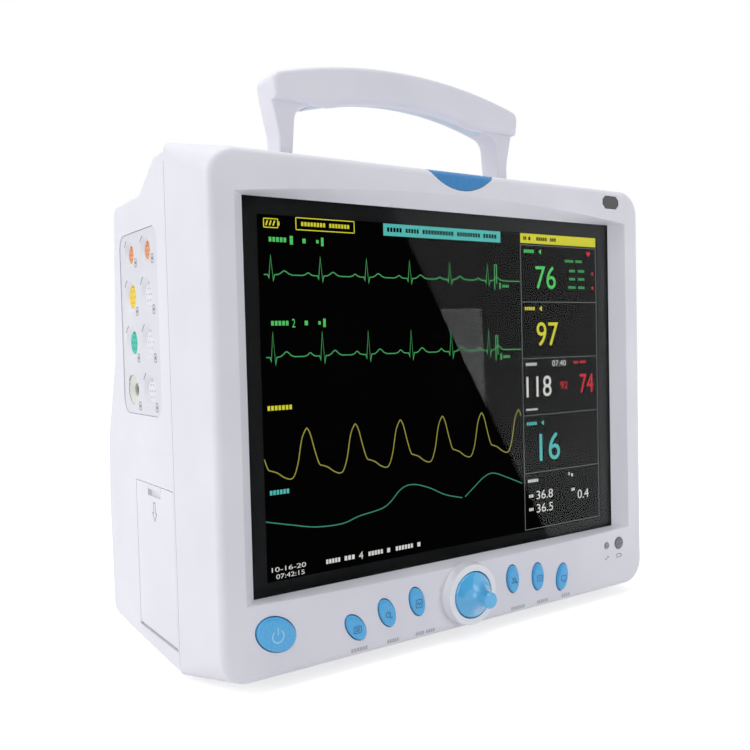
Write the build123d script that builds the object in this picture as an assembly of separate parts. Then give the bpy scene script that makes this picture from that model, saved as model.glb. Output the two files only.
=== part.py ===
from build123d import *
import math
import os

# Bedside patient monitor: a hollow two-part case with a bar handle, a screen behind glass, front keys and a
# push-and-turn knob, patient sockets and a battery door on the left side, and a chart recorder on the right.
# Millimetres. X runs to the viewer's right, Y from the front to the back, Z up. The model is drawn with y = 0 on
# the front of the screen glass, and each piece is moved as it is saved, so that the feet stand centred on z = 0.

# ---- Case and bezel ---------------------------------------------------------------------------------------
CASE_W = 315.5            # width of the rear case
CASE_TOP = 274.0          # top of the rear case above the floor
CASE_BACK = 149.0         # rearmost face behind the glass
CASE_FLOOR_FRONT = 6.2    # underside of the case at its front
WALL = 3.0                # wall of case and bezel
PARTING_Y = 33.0          # plane where bezel and case meet
GROOVE = 0.7              # width of the parting groove
TONGUE = 2.5              # reach of the case's tongue into the bezel
TONGUE_T = 2.5            # wall of the tongue
TONGUE_GAP = 1.0          # play round the tongue at the parting plane
TONGUE_ROOT = 3.0         # length of the tongue inside the case
SIDE_EDGE_R = 1.8         # rounding of the case's side edges

SHOULDER_DROP = 16.0      # step down from the case top to its rear deck
DECK_DROP = 1.2           # fall of the rear deck towards the back
DECK_FRONT_Y = 75.0       # where the rear deck starts
STEP_Y = 50.0             # where the slope down to the deck starts
UPPER_BACK_Y = 120.5      # upper rear edge of the deck
WAIST_Y = 128.0           # back of the case at the waist
WAIST_Z = 166.5
HIP_Y = 146.0             # back of the case where the lower bulge starts
HIP_Z = 121.0
BULGE_Z = 81.0            # height of the rearmost line
HEEL_Y = 146.7            # back of the case at the heel
HEEL_Z = 13.0
TOE_Y = 139.0             # rear edge of the underside
TOE_Z = 10.8

BEZEL_OVERHANG = 0.85     # bezel wider than the case on each side, at the parting plane
BEZEL_FLARE = 5.8         # each side's spread from the front face to the parting plane
BEZEL_RISE = 3.3          # bezel above the case top at the parting plane
BEZEL_TOP_FLARE = 8.3     # top's spread from the front face to the parting plane
BEZEL_DROP = 0.7          # bezel below the case's underside at the parting plane
BEZEL_BOTTOM_FLARE = 4.0  # underside's spread from the front face to the parting plane
FRONT_Y = -8.0            # front face
FRONT_WALL = 3.2          # wall of the front face
FRONT_CORNER_R = 16.0     # corners of the front face
BACK_CORNER_R = 4.0       # corners at the parting plane
FRONT_EDGE_R = 4.0        # rounding of the front face's edge

# ---- Screen -----------------------------------------------------------------------------------------------
SCREEN_Z = 147.0          # centre of the picture above the floor
LCD_W = 246.0             # picture
LCD_H = 184.5
LCD_MODULE_W = 262.0      # display module
LCD_MODULE_H = 196.0
LCD_MODULE_T = 9.0
WINDOW_W = 264.0          # glass left in sight
WINDOW_UP = 100.9         # glass in sight above and below the picture's centre
WINDOW_DOWN = 99.0
BEVEL_W = 7.6             # width of the side bevels
BEVEL_CORNER = 0.4        # top and bottom bevels at the corners
TOP_BOW = 8.0             # bow of the upper and lower bevel edges
BOTTOM_BOW = 2.4
GLASS_LIP = 4.0           # glass behind the window's edge
GLASS_T = 2.0
SURROUND = 10.0           # solid rim of the bezel round the window
LCD_GAP = 0.4             # air between glass and display
BRACKET_T = 1.2           # sheet of the display bracket
BRACKET_W = 296.0
BRACKET_H = 222.0
BRACKET_WINDOW_W = 200.0
BRACKET_WINDOW_H = 140.0
BRACKET_POST_R = 3.5

# ---- Front controls ---------------------------------------------------------------------------------------
KEY_A = 8.2               # long half axis of a key
KEY_B = 4.6               # short half axis
KEY_PROUD = 1.5           # key face in front of the bezel
KEY_ROUND = 1.2           # rounding of a key's face
KEY_FLANGE = 1.2          # rim that holds a key behind the front wall
KEY_FLANGE_T = 1.0
PLAY = 0.35               # play of a moving lid or button in its opening
KEY_PLAY = 0.6            # play round the front keys and the power button
STEM_R = 1.6
SWITCH_W = 6.0            # small push switches on the key board
SWITCH_T = 1.6
SWITCH_GAP = 1.4          # stem to switch at rest
KEYS = {                  # name: x, height, tilt of the long axis in degrees
    "key_menu": (-77.6, 24.9, 38.0),
    "key_pressure": (-57.5, 28.7, 24.0),
    "key_record": (-37.2, 30.9, 18.0),
    "key_silence": (34.3, 30.9, 6.0),
    "key_freeze": (55.1, 28.7, 2.0),
    "key_home": (75.9, 24.9, -11.0),
}
POWER_X = -124.2
POWER_Z = 31.2
POWER_A = 11.4
POWER_B = 8.2
POWER_TILT = -29.0
POWER_PROUD = 1.6

BOARD_T = 1.6
KEY_BOARD_Y = 6.0         # front of the key board
KEY_BOARD_W = 274.0
KEY_BOARD_Z = (14.5, 41.0)
KEY_POST_R = 3.0

KNOB_X = -1.2
KNOB_Z = 29.2
KNOB_R = 13.0
KNOB_TIP_R = 4.75
KNOB_TIP_Y = -29.0
KNOB_BASE_Y = -13.3       # plane of the knob's wide end
KNOB_SKIRT = 3.4          # part of the knob inside the collar
KNOB_PUSH = 0.8
COLLAR_FRONT_Y = -13.7
KNOB_ROOM = 0.6            # gap round the knob in its collar
COLLAR_R = 17.1           # collar at its front face
COLLAR_BASE_R = 18.2
SHAFT_R = 3.0
SHAFT_FIT = 0.05          # running fit of a shaft in its bush
BUSH_R = 3.6
ENCODER_W = 13.0
ENCODER_T = 7.0
PLUNGER_T = 1.4
PLUNGER_GAP = 0.35        # between shaft end, plunger and encoder back

LAMP_X = 1.9
LAMP_R = 33.0
LAMP_DIP = 9.8            # lamp below the top of the front face
LAMP_BACK_Y = 14.0
LAMP_GAP = 0.3
SENSOR_X = 126.2
SENSOR_BELOW_TOP = 7.6
SENSOR_W = 15.0
SENSOR_H = 8.0
SENSOR_CUT = 2.6
LED_Z = 38.0
LEDS = {"mains_led": (117.9, 2.2), "battery_led": (129.6, 4.0)}
LED_PROUD = 0.5

# ---- Side openings ----------------------------------------------------------------------------------------
PANEL_Y = (49.5, 111.5)   # socket panel, front and rear edge
PANEL_Z = (137.3, 238.8)
PANEL_R = 8.0
PANEL_SUNK = 0.4          # panel face below the case side
PANEL_GAP = 0.2
PANEL_RIM = 3.0           # flange behind the case wall
PANEL_RIM_T = 1.5
SOCKET_COLUMNS = (95.4, 68.4)
SOCKET_ROWS = (227.0, 203.3, 177.4, 150.9)
SOCKET_WELL = 1.5         # depth of the insert below the panel face
SOCKET_REACH = 14.0       # depth of the receptacle
SOCKET_RIM = 1.6          # receptacle flange behind the panel
SMALL_SOCKET = (7.5, 4.8)     # radii at the panel face and at the insert
LARGE_SOCKET = (9.3, 6.4)
PIN_HOLE_R = 0.55
PIN_HOLE_DEPTH = 3.0
PORT_R = 8.6
PORT_BORE_R = 3.6
PORT_SUNK = 0.5
PORT_BORE_DEPTH = 9.0
SOCKETS = {               # name: column, row, size
    "socket_temperature_1": (0, 0, SMALL_SOCKET),
    "socket_temperature_2": (1, 0, SMALL_SOCKET),
    "socket_heart_leads": (0, 1, LARGE_SOCKET),
    "socket_invasive_pressure_1": (1, 1, LARGE_SOCKET),
    "socket_oxygen": (0, 2, LARGE_SOCKET),
    "socket_invasive_pressure_2": (1, 2, LARGE_SOCKET),
    "socket_gas": (1, 3, LARGE_SOCKET),
}

DOOR_T = 2.6
HINGE_PIN_R = 1.0
HINGE_FIT = 0.06
HINGE_PIN_HOLD = 2.6      # length of the pin held at each end
BATTERY_DOOR_Y = (37.6, 95.5)
BATTERY_DOOR_Z = (16.5, 99.7)
BAY_DEPTH = 54.0
BAY_WALL = 1.5
BAY_BEHIND_DOOR = 0.5     # bay mouth behind the hinge barrel
PACK_PLAY = 0.4
LATCH_Y = (56.7, 75.9)
LATCH_BELOW_TOP = 3.0
LATCH_T = 1.7
LATCH_SLOT = 3.4          # gap under the latch tab

RECORDER_DOOR_Y = (44.0, 102.0)
RECORDER_DOOR_Z = (118.0, 190.0)
RECORDER_TOP = 207.0
RECORDER_DEPTH = 56.0
RECORDER_WALL = 1.5
ROLL_R = 22.0
ROLL_BORE_R = 8.0
ROLL_W = 50.0
ROLL_Z = 148.5
HUB_FIT = 0.08
PLATEN_R = 5.0
PLATEN_W = 46.0
PLATEN_AXLE_R = 1.5
PLATEN_EAR_T = 2.0
HEAD_GAP = 0.4
RELEASE_Y = (66.0, 80.0)
RELEASE_Z = (195.0, 203.0)

# ---- Rear and inner pieces --------------------------------------------------------------------------------
POCKET_X = (-112.0, 132.0)    # window for the rear connectors
POCKET_Z = (24.0, 68.0)
POCKET_FLOOR_Y = 143.0        # face of the rear connector plate
POCKET_RIM = 2.0
REAR_PLATE_T = 1.5
INLET_X = 88.0
REAR_ROW_Z = 46.0
INLET_W = 27.0
INLET_H = 20.0
INLET_HOLLOW_W = 24.0
INLET_HOLLOW_H = 16.5
INLET_DEPTH = 18.0
FUSE_X = 50.0
FUSE_R = 7.0
STUD_X = 118.0
STUD_R = 3.0
STUD_OUT = 5.5            # stud behind the plate
STUD_TIP_R = 0.8
STUD_NECK = 4.4           # square neck that keeps the stud from turning
STUD_NECK_OUT = 0.4       # neck in sight behind the plate
STUD_HEAD_T = 2.0
NETWORK_X = -70.0
NETWORK_W = 16.0
NETWORK_H = 14.0
NETWORK_HOLLOW_W = 11.8
NETWORK_HOLLOW_H = 8.2
NETWORK_DEPTH = 14.0
VENT_COUNT = 12
VENT_PITCH = 7.0
VENT_W = 2.6
VENT_L = 60.0
SPEAKER_R = 20.0
SPEAKER_T = 12.0
SPEAKER_Y = 74.0
SPEAKER_Z = 56.0
SLOT_PITCH = 5.0
SLOT_W = 2.0
CHASSIS_T = 1.2
CHASSIS_Y = 50.0
CHASSIS_X = (-88.0, 88.0)
CHASSIS_FOOT_Z = 17.0
CHASSIS_FOOT_BACK_Y = 108.0
STANDOFF_R = 3.0
STANDOFF_H = 6.0

HANDLE_RISE = 64.2        # top of the handle above the case top
HANDLE_GRIP_H = 20.8      # height of the grip at its middle
HANDLE_TOP_ARC = 334.0    # radius of the grip's upper line
HANDLE_UNDER_ARC = 229.0  # radius of the grip's lower line
HANDLE_END_X = 92.4       # outer end of the grip
HANDLE_FOOT_X = (79.5, 86.2)  # leg at its base
HANDLE_ARCH_X = 75.2      # inner corner of the arch
HANDLE_ARCH_R = 9.0       # rounding of that corner
HANDLE_END_R = 6.0        # rounding of the grip's upper corners
HANDLE_END_H = 12.0       # height of the grip's outer ends
HANDLE_NECK_RISE = 18.0   # legs start to widen this far above the case top
HANDLE_NECK_R = 20.0
HANDLE_LIFT = 3.0         # underside behind the grip's front lip, above the lip
HANDLE_LEG_Y = (45.5, 61.3)
GRIP_FRONT_Y = 40.0
GRIP_LOW_RISE = 37.0      # front lip starts this far above the case top
GRIP_EDGE_R = 3.0
LIP_OVERLAP = 1.5         # front lip inside the rest of the handle
LEG_EDGE_R = 1.5
INSERT_T = 2.0
INSERT_X = 66.0
INSERT_SIDE = 3.5         # handle left on each side of the soft insert

FOOT_H = 5.0               # top of the feet
FOOT_SOLE_Z = 2.4          # their soles, on which the part stands
FOOT_R = 11.5
FOOT_X = 98.0
FOOT_FRONT_Y = 21.0
FOOT_REAR_Y = 118.0
MOUNT_SPACING_X = 100.0
MOUNT_SPACING_Y = 50.0
MOUNT_HOLE_R = 1.65
MOUNT_HOLE_DEPTH = 8.0
MOUNT_PAD_EDGE = 9.0
MOUNT_Y = 78.0
SCREW_R = 3.4
SCREW_SHANK_R = 1.6
SCREW_LENGTH = 10.0

# ---- Worked out from the above ----------------------------------------------------------------------------
SIDE_X = CASE_W / 2
INNER_X = SIDE_X - WALL
DECK_Z = CASE_TOP - SHOULDER_DROP
BEZEL_BACK_X = SIDE_X + BEZEL_OVERHANG
BEZEL_FRONT_X = BEZEL_BACK_X - BEZEL_FLARE
BEZEL_BACK_Z = (CASE_FLOOR_FRONT - BEZEL_DROP, CASE_TOP + BEZEL_RISE)
BEZEL_FRONT_Z = (BEZEL_BACK_Z[0] + BEZEL_BOTTOM_FLARE, BEZEL_BACK_Z[1] - BEZEL_TOP_FLARE)
FRONT_INNER_Y = FRONT_Y + FRONT_WALL
CASE_FRONT_Y = PARTING_Y + GROOVE
HANDLE_TOP = CASE_TOP + HANDLE_RISE
ORIGIN_Y = (KNOB_TIP_Y + CASE_BACK) / 2


def block(x, y, z):
    """A block between two limits on each axis."""
    low = (x[0], y[0], z[0])
    return Pos(*low) * Box(x[1] - x[0], y[1] - y[0], z[1] - z[0], align=(Align.MIN,) * 3)


def front_face(sketch, y):
    """A sketch in X and Z, placed at depth y."""
    return Plane(origin=(0, y, 0), x_dir=(1, 0, 0), z_dir=(0, -1, 0)) * sketch


def back_from(sketch, y0, y1):
    """A sketch in X and Z, made solid from y0 back to y1."""
    return extrude(front_face(sketch, y0), amount=y0 - y1)


def side_from(sketch, x0, x1):
    """A sketch in Y and Z, made solid from x0 to x1."""
    side = Plane(origin=(x0, 0, 0), x_dir=(0, 1, 0), z_dir=(1, 0, 0))
    return extrude(side * sketch, amount=x1 - x0)


def up_from(sketch, z0, z1):
    """A sketch in X and Y, made solid from z0 up to z1."""
    return extrude(Plane(origin=(0, 0, z0)) * sketch, amount=z1 - z0)


def rounded(a, b, r):
    """A rounded rectangle between two limits on each of its own axes."""
    middle = Pos((a[0] + a[1]) / 2, (b[0] + b[1]) / 2)
    return middle * RectangleRounded(a[1] - a[0], b[1] - b[0], r)


def grown(limits, by):
    """Two limits, each moved outwards."""
    return (limits[0] - by, limits[1] + by)


def round_front(solid, radius):
    """The solid with the edge of its foremost face rounded."""
    return fillet(solid.faces().sort_by(Axis.Y)[0].edges(), radius)


def mirrored(solid, side):
    """The solid as drawn for the left side, or mirrored to the right side."""
    return solid if side < 0 else mirror(solid, Plane.YZ)


# ---- Outer shapes -----------------------------------------------------------------------------------------
def case_profile(front_y):
    """The case seen from its left: depth and height, with softened corners."""
    corners = [
        (front_y, CASE_FLOOR_FRONT, 0.4),
        (TOE_Y, TOE_Z, 4.0),
        (HEEL_Y, HEEL_Z, 5.0),
        (CASE_BACK, BULGE_Z, 30.0),
        (HIP_Y, HIP_Z, 20.0),
        (WAIST_Y, WAIST_Z, 30.0),
        (UPPER_BACK_Y, DECK_Z - DECK_DROP, 6.0),
        (DECK_FRONT_Y, DECK_Z, 8.0),
        (STEP_Y, CASE_TOP, 5.0),
        (front_y, CASE_TOP, 0.4),
    ]
    line = FilletPolyline(*[c[:2] for c in corners], radius=[c[2] for c in corners], close=True)
    return make_face(line)


def case_skin():
    """The solid that fills the rear case's outer surface."""
    solid = side_from(case_profile(CASE_FRONT_Y), -SIDE_X, SIDE_X)
    outline = []
    for side in (0, -1):
        face = solid.faces().sort_by(Axis.X)[side]
        outline += [e for e in face.edges() if e.center().Y > CASE_FRONT_Y + 1]
    return fillet(outline, SIDE_EDGE_R)


def case_hollow():
    """The room inside the rear case, open through the parting plane."""
    inner = offset(case_profile(PARTING_Y - 3 * WALL), amount=-WALL)
    return side_from(inner, -INNER_X, INNER_X)


def bezel_outline(inset, back):
    """The bezel's outline at its front face or at the parting plane, moved inwards by inset."""
    half, z, r = (BEZEL_BACK_X, BEZEL_BACK_Z, BACK_CORNER_R) if back else (
        BEZEL_FRONT_X, BEZEL_FRONT_Z, FRONT_CORNER_R)
    return rounded(grown((-half, half), -inset), grown(z, -inset), max(r - inset, 1.0))


def bezel_skin():
    """The solid that fills the bezel's outer surface."""
    front = front_face(bezel_outline(0, False), FRONT_Y)
    back = front_face(bezel_outline(0, True), PARTING_Y)
    return round_front(loft([front, back]), FRONT_EDGE_R)


def bezel_hollow():
    """The room inside the bezel, with the solid rim round the window left standing."""
    front = front_face(bezel_outline(WALL, False), FRONT_INNER_Y)
    back = front_face(bezel_outline(WALL, True), PARTING_Y)
    half = WINDOW_W / 2 + SURROUND
    rim_z = (SCREEN_Z - WINDOW_DOWN - GLASS_LIP - 1, SCREEN_Z + WINDOW_UP + BEVEL_CORNER + TOP_BOW + 4)
    return loft([front, back]) - block((-half, half), (FRONT_Y, 0), rim_z)


def screen_recess():
    """The bevelled opening in front of the glass, with bowed upper and lower edges."""
    half = WINDOW_W / 2
    low = SCREEN_Z - WINDOW_DOWN
    high = SCREEN_Z + WINDOW_UP
    wide = half + BEVEL_W
    top, bottom = high + BEVEL_CORNER, low - BEVEL_CORNER
    outer = make_face([
        Line((-wide, bottom), (-wide, top)),
        ThreePointArc((-wide, top), (0, top + TOP_BOW), (wide, top)),
        Line((wide, top), (wide, bottom)),
        ThreePointArc((wide, bottom), (0, bottom - BOTTOM_BOW), (-wide, bottom)),
    ])
    inner = make_face(Polyline((-half, low), (-half, high), (half, high), (half, low), close=True))
    bevel = loft([front_face(outer, FRONT_Y), front_face(inner, 0)], ruled=True)
    mouth = back_from(outer, FRONT_Y - 1, FRONT_Y)
    return bevel + mouth + back_from(inner, -0.01, 1)


def lamp_column(radius, back_y):
    """The round column that cuts the alarm lamp out of the bezel's upper edge."""
    centre = Pos(LAMP_X, BEZEL_FRONT_Z[1] - LAMP_DIP + LAMP_R)
    return back_from(centre * Circle(radius), FRONT_Y - 1, back_y)


# ---- Front bezel and its controls -------------------------------------------------------------------------
def key_sketch(a, b, tilt, x, z):
    """An ellipse with its long axis a upright, tilted and placed on the front."""
    return Pos(x, z) * Rot(0, 0, tilt) * Ellipse(b, a)


def control_holes():
    """The openings in the front wall for keys, button, knob, lamps and sensor."""
    cut = []
    for x, z, tilt in KEYS.values():
        cut.append(key_sketch(KEY_A + KEY_PLAY, KEY_B + KEY_PLAY, tilt, x, z))
    cut.append(key_sketch(POWER_B + KEY_PLAY, POWER_A + KEY_PLAY, POWER_TILT, POWER_X, POWER_Z))
    cut.append(Pos(KNOB_X, KNOB_Z) * Circle(BUSH_R + PLAY))
    for x, r in LEDS.values():
        cut.append(Pos(x, LED_Z) * Circle(r + LAMP_GAP / 2))
    cut.append(sensor_sketch(LAMP_GAP / 2))
    holes = [back_from(sketch, FRONT_Y - 1, FRONT_INNER_Y + 1) for sketch in cut]
    return Compound(holes)


def sensor_sketch(by):
    """The sensor window's outline: a rectangle with cut corners."""
    flat = Rectangle(SENSOR_W + 2 * by, SENSOR_H + 2 * by)
    return Pos(SENSOR_X, BEZEL_FRONT_Z[1] - SENSOR_BELOW_TOP) * chamfer(flat.vertices(), SENSOR_CUT)


def bracket_posts():
    """Centres of the posts that carry the display bracket."""
    x = BRACKET_W / 2 - BRACKET_POST_R
    z = BRACKET_H / 2 - BRACKET_POST_R
    return [(i * x, SCREEN_Z + j * z) for i in (-1, 1) for j in (-1, 1)]


def key_board_posts():
    """Centres of the posts that carry the key board."""
    middle = (KEY_BOARD_Z[0] + KEY_BOARD_Z[1]) / 2
    return [(x, middle) for x in (-102.0, -23.0, 97.0)]


def bracket_y():
    """Front of the display bracket's sheet."""
    return GLASS_T + LCD_GAP + LCD_MODULE_T


def front_bezel():
    solid = bezel_skin() - bezel_hollow()
    for x, z in bracket_posts():
        solid += back_from(Pos(x, z) * Circle(BRACKET_POST_R), FRONT_INNER_Y - 1, bracket_y())
    for x, z in key_board_posts():
        solid += back_from(Pos(x, z) * Circle(KEY_POST_R), FRONT_INNER_Y - 1, KEY_BOARD_Y)
    for x in (-FOOT_X, FOOT_X):
        boss = Pos(x, FOOT_FRONT_Y) * Circle(FOOT_R)
        solid += up_from(boss, FOOT_H, BEZEL_BACK_Z[0] + WALL)
    solid -= screen_recess()
    solid -= lamp_column(LAMP_R + LAMP_GAP, LAMP_BACK_Y + LAMP_GAP)
    return solid - control_holes()


def alarm_lamp():
    lens = bezel_skin() & lamp_column(LAMP_R, LAMP_BACK_Y)
    inside = Pos(LAMP_X, BEZEL_FRONT_Z[1] - LAMP_DIP + LAMP_R) * Circle(LAMP_R - WALL)
    room = back_from(inside, FRONT_INNER_Y, LAMP_BACK_Y - WALL)
    roof = BEZEL_FRONT_Z[1] - WALL
    return lens - (room & block((-LAMP_R, LAMP_R), (FRONT_Y, LAMP_BACK_Y), (0, roof)))


def sensor_window():
    return back_from(sensor_sketch(-LAMP_GAP / 2), FRONT_Y, FRONT_INNER_Y + 0.8)


def led(x, r):
    """A lens with a domed front and a body that reaches the key board."""
    lens = back_from(Pos(x, LED_Z) * Circle(r), FRONT_Y - LED_PROUD, KEY_BOARD_Y)
    lens = round_front(lens, LED_PROUD)
    return lens + back_from(Pos(x, LED_Z) * Circle(r + 0.8), FRONT_INNER_Y, FRONT_INNER_Y + 1.2)


def pressed_key(a, b, tilt, x, z, proud):
    """A key cap with a rim behind the front wall and a stem for the switch."""
    cap = back_from(key_sketch(a, b, tilt, x, z), FRONT_Y - proud, FRONT_INNER_Y + PLAY)
    cap = round_front(cap, KEY_ROUND)
    rim_y = FRONT_INNER_Y + PLAY
    rim_sketch = key_sketch(a + KEY_FLANGE, b + KEY_FLANGE, tilt, x, z)
    rim = back_from(rim_sketch, rim_y, rim_y + KEY_FLANGE_T)
    stem_end = KEY_BOARD_Y - SWITCH_T - SWITCH_GAP
    return cap + rim + back_from(Pos(x, z) * Circle(STEM_R), rim_y, stem_end)


def keypad_board():
    half = KEY_BOARD_W / 2
    board = block((-half, half), (KEY_BOARD_Y, KEY_BOARD_Y + BOARD_T), KEY_BOARD_Z)
    spots = [(x, z) for x, z, _ in KEYS.values()] + [(POWER_X, POWER_Z)]
    for x, z in spots:
        switch = Pos(x, z) * Rectangle(SWITCH_W, SWITCH_W)
        board += back_from(switch, KEY_BOARD_Y - SWITCH_T, KEY_BOARD_Y)
    return board


def knob_collar():
    """The ring round the knob, narrower towards its front."""
    cone = Solid.make_cone(COLLAR_BASE_R, COLLAR_R, FRONT_Y - COLLAR_FRONT_Y)
    ring = Pos(KNOB_X, FRONT_Y, KNOB_Z) * Rot(90, 0, 0) * cone
    ring = round_front(ring, 0.6)
    return ring - back_from(Pos(KNOB_X, KNOB_Z) * Circle(KNOB_R + KNOB_ROOM), COLLAR_FRONT_Y - 1, FRONT_Y)


def rotary_knob():
    """A trumpet: a wide base in the collar, curving in to a slim round tip."""
    length = KNOB_BASE_Y - KNOB_TIP_Y
    edge = 1.0
    waist = (KNOB_TIP_R + 2.6, length * 0.36)
    outline = [
        Line((0, -KNOB_SKIRT), (KNOB_R, -KNOB_SKIRT)),
        Line((KNOB_R, -KNOB_SKIRT), (KNOB_R, 0)),
        Line((KNOB_R, 0), (KNOB_R - 0.5, edge)),
        ThreePointArc((KNOB_R - 0.5, edge), waist, (KNOB_TIP_R - 0.1, length - edge)),
        Line((KNOB_TIP_R - 0.1, length - edge), (KNOB_TIP_R - 0.8, length)),
        Line((KNOB_TIP_R - 0.8, length), (0, length)),
        Line((0, length), (0, -KNOB_SKIRT)),
    ]
    body = revolve(Plane.XZ * make_face(outline), Axis.Z)
    body = Pos(KNOB_X, KNOB_BASE_Y, KNOB_Z) * Rot(90, 0, 0) * body
    bore = back_from(Pos(KNOB_X, KNOB_Z) * Circle(SHAFT_R + SHAFT_FIT), knob_bore_y(), 0)
    return body - bore


def knob_bore_y():
    """Blind end of the knob's bore."""
    return KNOB_BASE_Y - 5.0


def encoder_front_y():
    """Front of the encoder's square body."""
    return KEY_BOARD_Y - ENCODER_T


def encoder_body():
    """A square body with a round bush for the shaft and a chamber for the plunger."""
    here = Pos(KNOB_X, KNOB_Z)
    body = back_from(here * Rectangle(ENCODER_W, ENCODER_W), encoder_front_y(), KEY_BOARD_Y)
    body += back_from(here * Circle(BUSH_R), FRONT_Y - 0.5, encoder_front_y())
    body -= back_from(here * Circle(SHAFT_R + SHAFT_FIT), FRONT_Y - 1, encoder_front_y() + 1)
    chamber_end = shaft_end_y() + PLUNGER_GAP * 2 + PLUNGER_T + KNOB_PUSH
    return body - back_from(here * Circle(SHAFT_R + 0.4), encoder_front_y() + 1, chamber_end)


def shaft_end_y():
    """Inner end of the encoder shaft at rest."""
    return encoder_front_y() + 1.5


def encoder_shaft():
    return back_from(Pos(KNOB_X, KNOB_Z) * Circle(SHAFT_R), knob_bore_y() + 0.2, shaft_end_y())


def encoder_plunger():
    start = shaft_end_y() + PLUNGER_GAP
    return back_from(Pos(KNOB_X, KNOB_Z) * Circle(SHAFT_R - 0.3), start, start + PLUNGER_T)


# ---- Screen -----------------------------------------------------------------------------------------------
def screen_glass():
    half = WINDOW_W / 2 + GLASS_LIP
    z = (SCREEN_Z - WINDOW_DOWN - GLASS_LIP, SCREEN_Z + WINDOW_UP + GLASS_LIP)
    return block((-half, half), (0, GLASS_T), z)


def lcd_panel():
    y = GLASS_T + LCD_GAP
    module = back_from(Pos(0, SCREEN_Z) * Rectangle(LCD_MODULE_W, LCD_MODULE_H), y, y + LCD_MODULE_T)
    mask = 0.3
    picture = back_from(Pos(0, SCREEN_Z) * Rectangle(LCD_W, LCD_H), y, y + mask)
    return module - picture


def lcd_bracket():
    """A sheet behind the display with a window and raised edges, screwed to the bezel's posts."""
    y = bracket_y()
    sheet = Rectangle(BRACKET_W, BRACKET_H) - Rectangle(BRACKET_WINDOW_W, BRACKET_WINDOW_H)
    plate = back_from(Pos(0, SCREEN_Z) * sheet, y, y + BRACKET_T)
    edge = Rectangle(BRACKET_WINDOW_W + 2 * BRACKET_T, BRACKET_WINDOW_H + 2 * BRACKET_T)
    edge -= Rectangle(BRACKET_WINDOW_W, BRACKET_WINDOW_H)
    return plate + back_from(Pos(0, SCREEN_Z) * edge, y, y + 6 * BRACKET_T)


# ---- Doors on the two sides -------------------------------------------------------------------------------
def hinge_axis(z):
    """Distance of a side door's hinge line from the middle, and its height, for a door from z up."""
    return SIDE_X - DOOR_T, z[0] + DOOR_T


def side_door(side, y, z):
    """A flat lid flush with the case side, with a hinge barrel along its lower edge."""
    x, pivot_z = hinge_axis(z)
    plate = block((-SIDE_X, -x), y, (pivot_z, z[1]))
    barrel = Pos(-x, y[0], pivot_z) * Rot(-90, 0, 0) * Cylinder(DOOR_T, y[1] - y[0], align=(
        Align.CENTER, Align.CENTER, Align.MIN))
    return mirrored(plate + barrel - hinge_rod(z, grown(y, 1), HINGE_PIN_R + HINGE_FIT), side)


def hinge_rod(z, y, radius):
    """A round rod on a left door's hinge line."""
    x, pivot_z = hinge_axis(z)
    rod = Cylinder(radius, y[1] - y[0], align=(Align.CENTER, Align.CENTER, Align.MIN))
    return Pos(-x, y[0], pivot_z) * Rot(-90, 0, 0) * rod


def hinge_pin(side, y, z):
    return mirrored(hinge_rod(z, grown(y, HINGE_PIN_HOLD), HINGE_PIN_R), side)


def door_frame(side, y, z, top):
    """Ribs beside a door's opening that hold its hinge pin and the box behind it."""
    ribs = []
    for low, high in ((y[0] - PLAY - 4, y[0] - PLAY), (y[1] + PLAY, y[1] + PLAY + 4)):
        ribs.append(block((-INNER_X - 0.5, -INNER_X + 14), (low, high), (z[0] - 2, top)))
    return mirrored(Compound(ribs), side)


def hinge_bore(side, y, z):
    """The bore that holds a hinge pin's two ends in the case."""
    return mirrored(hinge_rod(z, grown(y, HINGE_PIN_HOLD + 0.3), HINGE_PIN_R + 0.02), side)


def door_opening(side, y, z):
    """The hole in the case side for a lid."""
    return mirrored(block((-SIDE_X - 1, -INNER_X + 1), grown(y, PLAY), grown(z, PLAY)), side)


def box_mouth_x():
    """Distance from the middle of the mouth of a box behind a side door."""
    return SIDE_X - 2 * DOOR_T - BAY_BEHIND_DOOR


def side_box(side, y, z, depth, wall):
    """An open box behind a side door: outer limits y and z, hollow towards the door."""
    mouth = box_mouth_x()
    shell = block((-mouth, depth - mouth), y, z)
    shell -= block((-mouth - 1, depth - mouth - wall), grown(y, -wall), grown(z, -wall))
    return mirrored(shell, side)


def bay_limits():
    """Outer limits of the battery bay: between the ribs, above the hinge line."""
    return grown(BATTERY_DOOR_Y, PLAY - 0.2), (BATTERY_DOOR_Z[0] + 2 * DOOR_T, BATTERY_DOOR_Z[1] - 0.5)


def battery_bay():
    y, z = bay_limits()
    return side_box(-1, y, z, BAY_DEPTH, BAY_WALL)


def battery_pack():
    y, z = bay_limits()
    by = -BAY_WALL - PACK_PLAY
    mouth = box_mouth_x()
    cell_block = block((-mouth + 0.5, BAY_DEPTH - mouth + by), grown(y, by), grown(z, by))
    return fillet(cell_block.edges().filter_by(Axis.X), 3.0)


def latch_limits(by):
    """The latch tab's outline on the door, moved outwards by the play."""
    top = BATTERY_DOOR_Z[1]
    return grown(LATCH_Y, by), (top - LATCH_BELOW_TOP, top + by)


def battery_door():
    solid = side_door(-1, BATTERY_DOOR_Y, BATTERY_DOOR_Z)
    y, z = latch_limits(PLAY)
    pocket = (-SIDE_X - 1, -SIDE_X + LATCH_T + PLAY)
    return solid - block(pocket, y, (z[0] - LATCH_SLOT, z[1]))


def battery_latch():
    """A finger tab that slides down in the door's pocket, with a softened lower lip."""
    y, z = latch_limits(0)
    tab = block((-SIDE_X, -SIDE_X + LATCH_T), y, z)
    lip = tab.faces().sort_by(Axis.X)[0].edges().sort_by(Axis.Z)[0]
    return fillet(lip, 0.6)


def recorder_box_limits():
    return grown(RECORDER_DOOR_Y, PLAY - 0.2), (RECORDER_DOOR_Z[0] + 2 * DOOR_T, RECORDER_TOP)


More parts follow.
